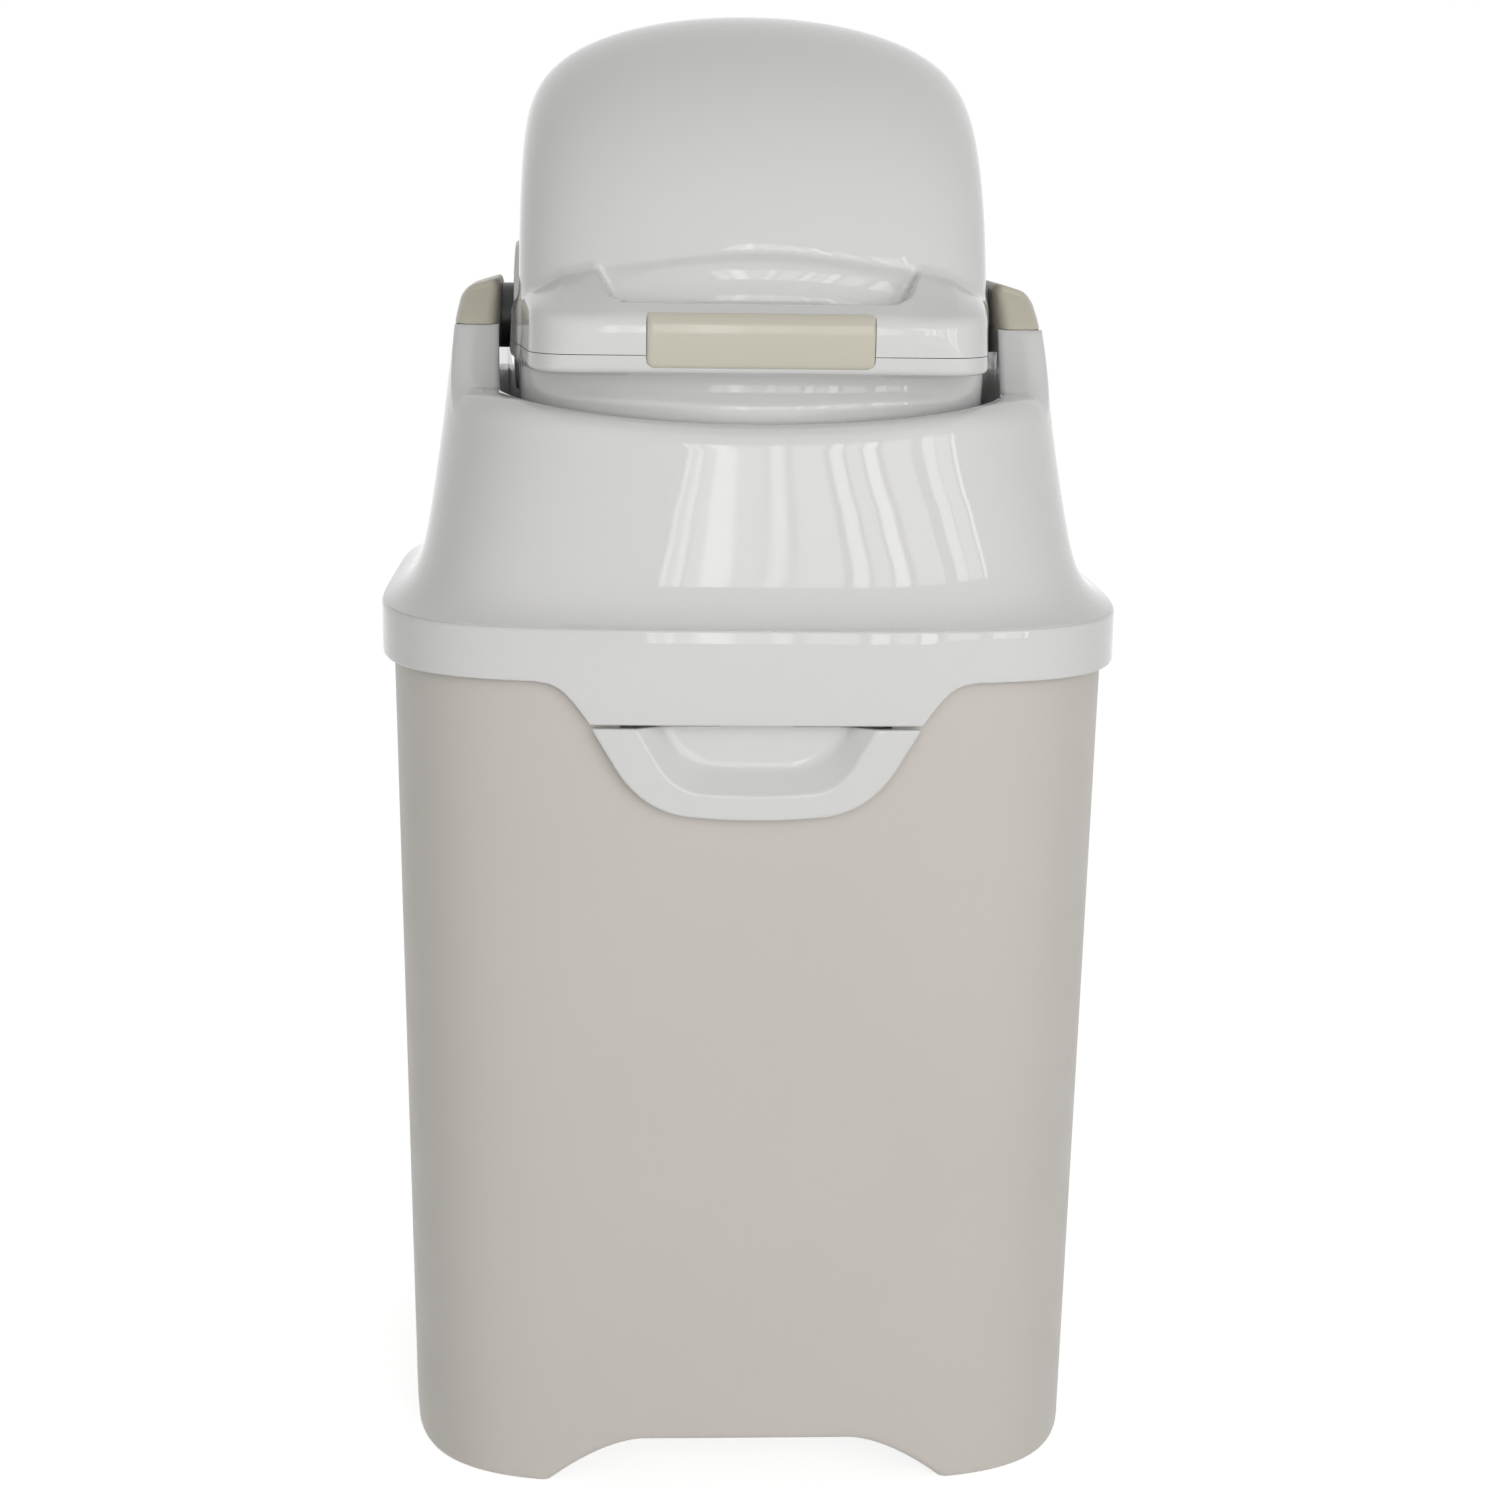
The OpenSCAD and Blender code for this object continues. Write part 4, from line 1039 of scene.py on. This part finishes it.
    def shelf(self, x: Array, y: Array) -> Array:
        """Height of the handle's sloping top over the pivot, which meets the barrel along an arched crease.

        Args:
            x: Distances from the middle.
            y: Places along Y.

        Returns:
            The heights.
        """
        line = self.cove - self.cove_drop * np.minimum(x / self.cove_x, 1.25) ** self.cove_power
        rise = np.minimum((self.crest(x) - self.face_top) / (self.reach - line), 0.67)
        return self.face_top + rise * np.clip(y + self.reach, 0, self.reach - line)

    def handle(self, p: Array, grow: float = 0.0) -> Array:
        """Distance out of the handle, before its finger gap.

        Args:
            p: Points.
            grow: How far its surface is moved out.

        Returns:
            The distances, negative inside.
        """
        x, y, z = np.abs(p[..., 0]), p[..., 1], p[..., 2] - PIVOT_Z
        side = (x - self.side_x - 0.128 * (y + 48) + 0.05 * np.minimum(z, 0)) * 0.99
        plan = smooth_max(side, -y - self.reach, 24.0)
        face = smooth_max(plan, (-(y + self.reach)) * 0.95 - (z + 5.0) * 0.31, 3.0)
        over = (z - self.shelf(x, y)) * 0.87
        return smooth_max(smooth_max(face, over, 4.5), -z - self.handle_up, 3.0) - grow

    def gap(self, p: Array) -> Array:
        """Distance out of the finger well, which widens upwards to the crease."""
        half = self.gap_half + 0.55 * np.maximum(p[..., 2] - PIVOT_Z - 5, 0)
        return rounded([np.abs(p[..., 0]) - half, slab(p[..., 1], self.bar - self.reach, self.gap_back)], 8.0)

    def outside(self, p: Array) -> Array:
        """Distance out of the whole drum."""
        handle = smooth_max(smooth_max(self.handle(p), -self.gap(p), 2.0), p[..., 1] + 46, 2.0)
        return smooth_min(self.core(p), handle, 3.5)

    def inside(self, p: Array) -> Array:
        """Distance out of the drum's hollow."""
        plain = smooth_max(self.barrel(p, self.wall), self.cove_wall(p) + self.wall, 2.4)
        return smooth_max(plain, self.flutes(p, self.wall), 2.4)

    def build(self) -> tuple[Piece, Piece]:
        """Mould the drum and part it at the joint of its shells.

        Returns:
            The upper and the lower shell.
        """
        s, z = self.step, PIVOT_Z
        xs = np.arange(-self.side_x - 4, self.side_x + 4 + s, s)
        ys = np.arange(-self.reach - 4, self.r + 4 + s, s)
        whole = mould("drum", self.outside, (xs, ys, np.arange(-self.r - 4, self.r + 4 + s, s) + z))
        coarse, deep = np.arange(-112, 112, s * 2.2), np.arange(-136, 136, s * 2.2)
        hollow = mould("tool", self.inside, (coarse, deep, deep + z))
        posts = [(side * x, y) for x, y in DRUM_POSTS for side in (-1, 1)]
        keep = [rod_tool(5, [x, y, z - 60], [x, y, z + 60], 48) for x, y in posts]
        keep.append(rod_tool(self.cup_r + self.wall, [0, 0, z - 140], [0, 0, z - 84], 192))
        holes = [rod_tool(1.9, [x, y, z - 70], [x, y, z + 12], 32) for x, y in posts]
        holes += [rod_tool(4, [x, y, z - 80], [x, y, z - 26], 48) for x, y in posts]
        whole = cut(whole, [cut(hollow, keep)] + holes + [self.grip_seat()])
        far, level = 400.0, z + self.split
        lower = place("drum_belly", whole.data.copy())
        whole.name = "drum_dome"
        upper = cut(whole, [box_tool([-far, -far, level - far], [far, far, level + 0.15])])
        lower = cut(lower, [box_tool([-far, -far, level - 0.15], [far, far, level + far])])
        lower = cut(lower, [rod_tool(self.cup_r, [0, 0, z - 200], [0, 0, z - 60], 192)])
        for piece in (upper, lower):
            true_normals(piece, (self.outside, self.inside))
        return upper, lower

    def grip_seat(self) -> Piece:
        """Make the tool that sinks the grip's seat into the handle, 0.1 mm wider than the grip.

        Returns:
            The tool.
        """
        (half, up), corner, outline = self.grip, self.grip_corner + 0.1, []
        for sx, sz, start in ((1, -1, 0), (-1, -1, 90), (-1, 1, 180), (1, 1, 270)):
            for a in np.radians(np.linspace(start, start + 90, 7)):
                x = sx * (half + 0.1 - corner) + corner * math.cos(a)
                outline.append((x, PIVOT_Z + sz * (up + 0.1 - corner) - corner * math.sin(a)))
        return prism_tool(outline, -self.reach - 3, -self.reach + self.grip_deep)

    def build_grip(self) -> Piece:
        """Mould the soft grip that stands 1 mm proud of the handle.

        Returns:
            The grip.
        """
        half, up = self.grip

        def field(p: Array) -> Array:
            """Distance out of the grip."""
            plan = rounded([slab(p[..., 0], -half, half), slab(p[..., 2] - PIVOT_Z, -up, up)], self.grip_corner)
            return np.maximum(smooth_max(plan, self.handle(p, 1.0), 2.2), p[..., 1] + self.reach - self.grip_deep)

        xs, ys = np.arange(-48.5, 48.6, 0.7), np.arange(-157.5, -150.5, 0.5)
        return mould("grip_pad", field, (xs, ys, np.arange(-15, 15.1, 0.7) + PIVOT_Z))


@dataclass
class PushTab:
    """The push tab with its finger dish, stem and knuckles."""

    front: float = 162.0  # Half depth of the body's front, which its face follows.
    top: float = 340.0  # Its top.
    low: float = 301.5  # Its lower edge in the middle.
    half: float = 68.0  # Half width of its top.
    dish_half: float = 49.7  # Half width of the finger dish at the top.
    dish_low: float = 312.0  # Lower edge of the dish.
    dish_y: float = -153.0  # Y of the dish's floor.
    back_y: float = -157.9  # Y of the plate's back.
    knuckle_x: float = 27.0  # Distance from the middle to a knuckle.
    knuckle_r: float = 3.4  # Radius of a knuckle.
    bore_r: float = 1.95  # Radius of the pin's hole.

    def shield(self, p: Array, half: float, low: float, r: float) -> Array:
        """Distance out of a shield outline seen from the front.

        Args:
            p: Points.
            half: Its half width at the tab's top.
            low: Its lower edge in the middle.
            r: Width of its eased corners.

        Returns:
            The distances, negative inside.
        """
        x, z = np.abs(p[..., 0]), p[..., 2]
        side = (x - half) * 0.859 - (z - self.top) * 0.512
        return smooth_max(side, low + 2.9 * (x / 40) ** 2 - z, r)

    def face(self, p: Array) -> Array:
        """Distance in front of the tab's face."""
        t = np.arctan2(p[..., 1], p[..., 0])
        return np.hypot(p[..., 0], p[..., 1]) - plan_radius(self.front, self.front, PLAN_POWER, t)

    def dish(self, p: Array, grow: float) -> Array:
        """Distance out of the finger dish, with its sides and floor moved out."""
        sides = (self.shield(p, self.dish_half, self.dish_low, 10.0) + 1.15 * (p[..., 1] + self.front)) / 1.52
        return smooth_max(sides, p[..., 1] - self.dish_y, 1.8) - grow

    def solid(self, p: Array) -> Array:
        """Distance out of the whole tab.

        Args:
            p: Points.

        Returns:
            The distances, negative inside.
        """
        over = p[..., 2] - self.top
        plate = smooth_max(self.shield(p, self.half, self.low, 16.0), self.face(p), 1.6)
        plate = smooth_max(np.maximum(plate, p[..., 1] - self.back_y), over, 1.0)
        shell = np.maximum(np.maximum(self.dish(p, 2.2), over), -p[..., 1] - 159)
        stem = block(p, [-15, -153.6, 334], [15, -150.8, 350.2])
        nose = block(p, [-15, -156.3, 347.6], [15, -151.0, 350.2], 0.3)
        solid = smooth_min(np.minimum(plate, shell), np.minimum(stem, nose), 1.0)
        y, z = TAB_PIN
        for mid in (-self.knuckle_x, self.knuckle_x):
            solid = np.minimum(solid, rod(p, self.knuckle_r, mid - 7, mid + 7, y, z))
            solid = np.minimum(solid, block(p, [mid - 7, -158.9, z - 1.5], [mid + 7, y, z + 3]))
        solid = smooth_max(solid, -self.dish(p, 0.0), 0.7)
        return np.maximum(solid, -rod(p, self.bore_r, -60, 60, y, z))

    def build(self) -> Piece:
        """Mould the tab."""
        axes = (np.arange(-70.5, 70.6, 0.9), np.arange(-163.5, -143.1, 0.6), np.arange(299.5, 352.0, 0.7))
        return true_normals(mould("push_tab", self.solid, axes), (self.solid,), 0.1)


@dataclass(frozen=True)
class ScrewSet:
    """Screws of one size that are driven the same way."""

    places: tuple[tuple[float, float, float], ...]  # Where each head's outer face is.
    head_r: float  # Radius of the head.
    head_h: float  # Height of the head.
    shank_r: float  # Radius of the thread.
    length: float  # Length of the shank.
    forward: bool = False  # Whether they are driven towards the front, in place of upwards.

    def build(self, tree: Tree, name: str) -> Piece:
        """Set the screws at their places.

        Args:
            tree: The screws' geometry tree.
            name: Name of the piece.

        Returns:
            The screws as one piece.
        """
        sizes = {
            "Head Radius": self.head_r * MM,
            "Head Height": self.head_h * MM,
            "Shank Radius": self.shank_r * MM,
            "Length": self.length * MM,
            "Turn": (math.pi / 2 if self.forward else 0.0, 0.0, 0.0),
        }
        return soften(run_tree(mesh_piece(name, self.places), tree, sizes), 40)


def join_pieces(name: str, pieces: Sequence[Piece]) -> Piece:
    """Join pieces into one mesh.

    Args:
        name: Name of the result.
        pieces: The pieces, which are used up.

    Returns:
        The joined piece.
    """
    form = bmesh.new()
    for piece in pieces:
        form.from_mesh(piece.data)
        bpy.data.objects.remove(piece)
    return soften(plain_mesh(name, form), 40)


def corners(x: float, y: Sequence[float], z: float) -> tuple[tuple[float, float, float], ...]:
    """Mirror places left and right."""
    return tuple((side * x, v, z) for side in (-1, 1) for v in y)


@dataclass
class Fasteners:
    """Every screw, grouped by the body that carries it."""

    housing: ScrewSet = ScrewSet(
        tuple((x, -146.67, z) for x in (-64.0, 64.0) for z in (309.5, 345.3)), 2.8, 2.0, 1.5, 4.2, True
    )
    bracket: ScrewSet = ScrewSet(tuple((x, 152.7, 346.0) for x in (-21.0, -7.0, 7.0, 21.0)), 2.6, 1.6, 1.4, 3.2, True)
    cap: ScrewSet = ScrewSet(corners(119.25, (-17.6, 17.6), 468.0), 3.2, 3.0, 1.6, 33.0)
    frame: ScrewSet = ScrewSet(corners(119.25, (-8.0, 8.0), 423.0), 3.0, 2.0, 1.5, 17.0)
    drum: ScrewSet = ScrewSet(
        tuple(at for x, y in DRUM_POSTS for at in corners(x, (y,), 470.4)), 3.4, 2.6, 1.8, 34.0
    )

    def build(self) -> None:
        """Set all screws, as one finished piece for each body."""
        tree = screw_tree(ZINC.material())
        for body, name, sets in (
            (Body.BIN, "body_fasteners", {"housing_screws": self.housing, "bracket_screws": self.bracket}),
            (Body.HEAD, "head_fasteners", {"cap_screws": self.cap, "frame_screws": self.frame}),
            (Body.DRUM, "drum_fasteners", {"drum_screws": self.drum}),
        ):
            pieces = [each.build(tree, f"{name}_{k}") for k, each in enumerate(sets.values())]
            finish_piece(join_pieces(name, pieces), ZINC, body, list(sets))


@dataclass
class TabSpring:
    """Torsion spring on the tab's pin."""

    pin: tuple[float, float] = TAB_PIN  # Y and Z of the pin.
    coil_r: float = 3.4  # Radius of the coil.
    wire_r: float = 0.6  # Radius of the wire.
    turns: int = 5  # Turns of the coil.
    pitch: float = 1.6  # Advance of a turn.
    per_turn: int = 28  # Points in a turn.

    def build(self) -> Piece:
        """Draw the wire along its coil and two legs.

        Returns:
            The spring.
        """
        y, z = self.pin
        start = -self.turns * self.pitch / 2
        count = self.turns * self.per_turn
        path = [(start, -150.15, 337.0), (start, y - self.coil_r, z + 6)]
        for turn in (i / self.per_turn for i in range(count + 1)):
            t = math.pi * (1 - 2 * turn)
            path.append((start + self.pitch * turn, y + self.coil_r * math.cos(t), z + self.coil_r * math.sin(t)))
        path += [(start + 8.3, y - 2.04, z + 5), (start + 8.6, -145.09, z + 14)]
        line = mesh_piece("tab_spring", path, edges=[(i, i + 1) for i in range(len(path) - 1)])
        wire = {"Wire Radius": self.wire_r * MM, "Sides": 12}
        return soften(run_tree(line, wire_tree(ZINC.material()), wire), 50)


# ---- Stage ----


@dataclass
class Studio:
    """Floor, backdrop, lamps and camera."""

    distance: float = 1250.0  # From the pivot's axis to the eye, level.
    height: float = 560.0  # Height of the eye.
    aside: float = 2.6  # How far to the left the eye stands, in degrees.
    pitch: float = 11.8  # How far down it looks, in degrees.
    roll: float = 0.748  # Turn of the camera about its view, in degrees.
    shift: float = 3.54  # Step of the eye to its right.
    focal_px: float = 2714.0  # Focal length in pixels of a frame frame_px wide.
    frame_px: float = 1495.0  # Width of that frame.
    room_level: float = 0.25  # Light of the room from all round.
    room_ends: float = 1.86  # How much brighter its front and its back are.
    room_slant: tuple[float, float, float] = (0.04, -0.05, -0.06)  # How its light changes along X, Y and Z.
    window_far: float = 2.6  # Distance of the window, in metres.
    window_mid: float = 0.85  # Height of the window's middle, in metres.
    window_tall: float = 1.5  # Height of the window, in metres.
    # Bearing, width and brightness of each bright strip, in degrees and a plain factor.
    folds: tuple[tuple[float, float, float], ...] = (
        (-1.7, 0.5, 3.2), (-1.1, 0.5, 1.7), (-0.6, 0.5, 3.4), (0.3, 0.9, 1.6), (1.3, 1.2, 4.0), (2.4, 0.8, 1.5),
        (3.3, 0.6, 3.2), (5.3, 2.6, 1.7), (8.2, 1.6, 3.2), (10.8, 2.4, 1.6), (14.0, 2.6, 3.6), (21.0, 8.0, 1.5),
        (32.0, 5.0, 2.6), (38.5, 7.0, 1.5), (44.2, 2.0, 3.4),
    )
    floor_half: float = 6000.0  # Half width of the floor.
    floor_z: float = -0.3  # Its height, just under the feet.

    def camera(self) -> None:
        """Stand the camera where the photograph was taken."""
        data = bpy.data.cameras.new("camera")
        data.sensor_width = 36.0
        data.lens = 36.0 * self.focal_px / self.frame_px
        data.clip_start, data.clip_end = 0.05, 50.0
        cam = place("camera", data)
        a, e = math.radians(self.aside), math.radians(self.pitch)
        ahead, right = Vector((math.sin(a), math.cos(a), 0)), Vector((math.cos(a), -math.sin(a), 0))
        eye = (right * self.shift - ahead * self.distance + Vector((0, 0, self.height))) * MM
        look = ahead * math.cos(e) + Vector((0, 0, -math.sin(e)))
        cam.rotation_mode = "QUATERNION"
        turn = look.to_track_quat("-Z", "Y")
        spin = Matrix.Rotation(math.radians(self.roll), 4, "Z").to_quaternion()
        cam.location, cam.rotation_quaternion = eye, turn @ spin
        bpy.context.scene.camera = cam

    def lights(self) -> None:
        """Hang a tall curtained window, front right, as bright strips at the bearings where the collar mirrors it."""
        for k, (bearing, wide, glow) in enumerate(self.folds):
            toward = Vector((math.sin(math.radians(bearing)), -math.cos(math.radians(bearing)), 0))
            span = 2 * self.window_far * math.tan(math.radians(wide) / 2)
            data = bpy.data.lights.new(f"window_fold_{k}", "AREA")
            data.shape, data.size, data.size_y = "RECTANGLE", span, self.window_tall
            data.energy = glow * math.pi * span * self.window_tall
            lamp = place(data.name, data)
            lamp.location = toward * self.window_far + Vector((0, 0, self.window_mid))
            lamp.rotation_mode = "QUATERNION"
            lamp.rotation_quaternion = (-toward).to_track_quat("-Z", "Y")

    def backdrop(self, tree: Tree, lit: Node, seen: Node) -> Socket:
        """Show one shader to the rays that see the background, straight or in a mirror or glass.

        Args:
            tree: The tree of the world or of the floor.
            lit: The shader that lights the scene.
            seen: The shader that is seen.

        Returns:
            The mixed shader.
        """
        rays = add_node(tree, "ShaderNodeLightPath").outputs
        mirrored = math_node(tree, "MAXIMUM", rays["Is Camera Ray"], rays["Is Glossy Ray"])
        shown = math_node(tree, "MAXIMUM", mirrored, rays["Is Transmission Ray"])
        mixed = {"Fac": shown, 1: lit.outputs[0], 2: seen.outputs[0]}
        return add_node(tree, "ShaderNodeMixShader", mixed).outputs[0]

    def world(self) -> None:
        """Fill the room with soft light, brightest at the front and the back, and white where it is seen."""
        world = bpy.data.worlds.new("studio")
        bpy.context.scene.world = world
        tree = blank_tree(world)
        node = partial(add_node, tree)
        toward = node("ShaderNodeTexCoord").outputs["Generated"]
        slant = node("ShaderNodeVectorMath", {0: toward, 1: self.room_slant}, operation="DOT_PRODUCT")
        along = node("ShaderNodeSeparateXYZ", {0: toward}).outputs["Y"]
        work = partial(math_node, tree)
        ends = work("MULTIPLY", work("POWER", work("ABSOLUTE", along), 4.0), self.room_ends)
        level = work("ADD", work("ADD", ends, self.room_level), slant.outputs["Value"])
        room = node("ShaderNodeBackground", {"Strength": level, "Color": linear("fffefc")})
        white = node("ShaderNodeBackground", {"Strength": 1.0, "Color": linear("ffffff")})
        node("ShaderNodeOutputWorld", {"Surface": self.backdrop(tree, room, white)})

    def floor(self) -> None:
        """Lay a plain pale floor that shows white but for the bin's soft shadow."""
        far = self.floor_half
        pts = [[x, y, self.floor_z] for x, y in ((-far, -far), (far, -far), (far, far), (-far, far))]
        floor = mesh_piece("floor", pts, [(0, 1, 2, 3)])
        material = bpy.data.materials.new("plain pale floor")
        tree = blank_tree(material)
        node = partial(add_node, tree)
        plain, half = (node("ShaderNodeBsdfDiffuse", {"Color": linear(code)}) for code in ("f6f6f4", "b4b4b4"))
        glow = node("ShaderNodeEmission", {"Color": linear("ffffff"), "Strength": 0.82})
        seen = node("ShaderNodeAddShader", {0: half.outputs[0], 1: glow.outputs[0]})
        node("ShaderNodeOutputMaterial", {"Surface": self.backdrop(tree, plain, seen)})
        floor.data.materials.append(material)

    def build(self) -> None:
        """Set the whole stage."""
        self.camera()
        self.world()
        self.floor()
        self.lights()
        bpy.context.scene.view_settings.view_transform = "Standard"


def dress_nodes(frame: dict) -> None:
    """Give every solid that stays its slot's finish and clean smooth shading.
    """
    slots = {s["node"]: s["material_slot"] for s in frame["record"]["subparts"]}
    shading = shade_tree()
    for name, node in frame["nodes"].items():
        node.data.materials.clear()
        node.data.materials.append(BY_SLOT[slots[name]].material())
        node.modifiers.new("clean shading", "NODES").node_group = shading


def main() -> None:
    """Build the nappy bin on its frame."""
    logging.basicConfig(level=logging.INFO, format="%(message)s")
    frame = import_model()
    dress_nodes(frame)
    Studio().build()

    finish_piece(BinBody().build(), SATIN_PP, Body.BIN, ["bin_shell"])
    head, drum = Head(), Drum()
    finish_piece(head.build(), GLOSS_ABS, Body.HEAD, ["head_shell"])
    for side, node in ((-1, "arm_cap_left"), (1, "arm_cap_right")):
        finish_piece(ArmCap(side).build(head), CAP_PP, Body.HEAD, [node])
    for shell, node in zip(drum.build(), ("drum_upper", "drum_lower")):
        finish_piece(shell, GLOSS_ABS, Body.DRUM, [node])
    finish_piece(drum.build_grip(), GRIP_TPE, Body.DRUM, ["grip_insert"])
    finish_piece(PushTab().build(), GLOSS_ABS, Body.TAB, ["release_tab"])
    finish_piece(TabSpring().build(), ZINC, Body.TAB, ["latch_spring"])
    Fasteners().build()


if __name__ == "__main__":
    main()
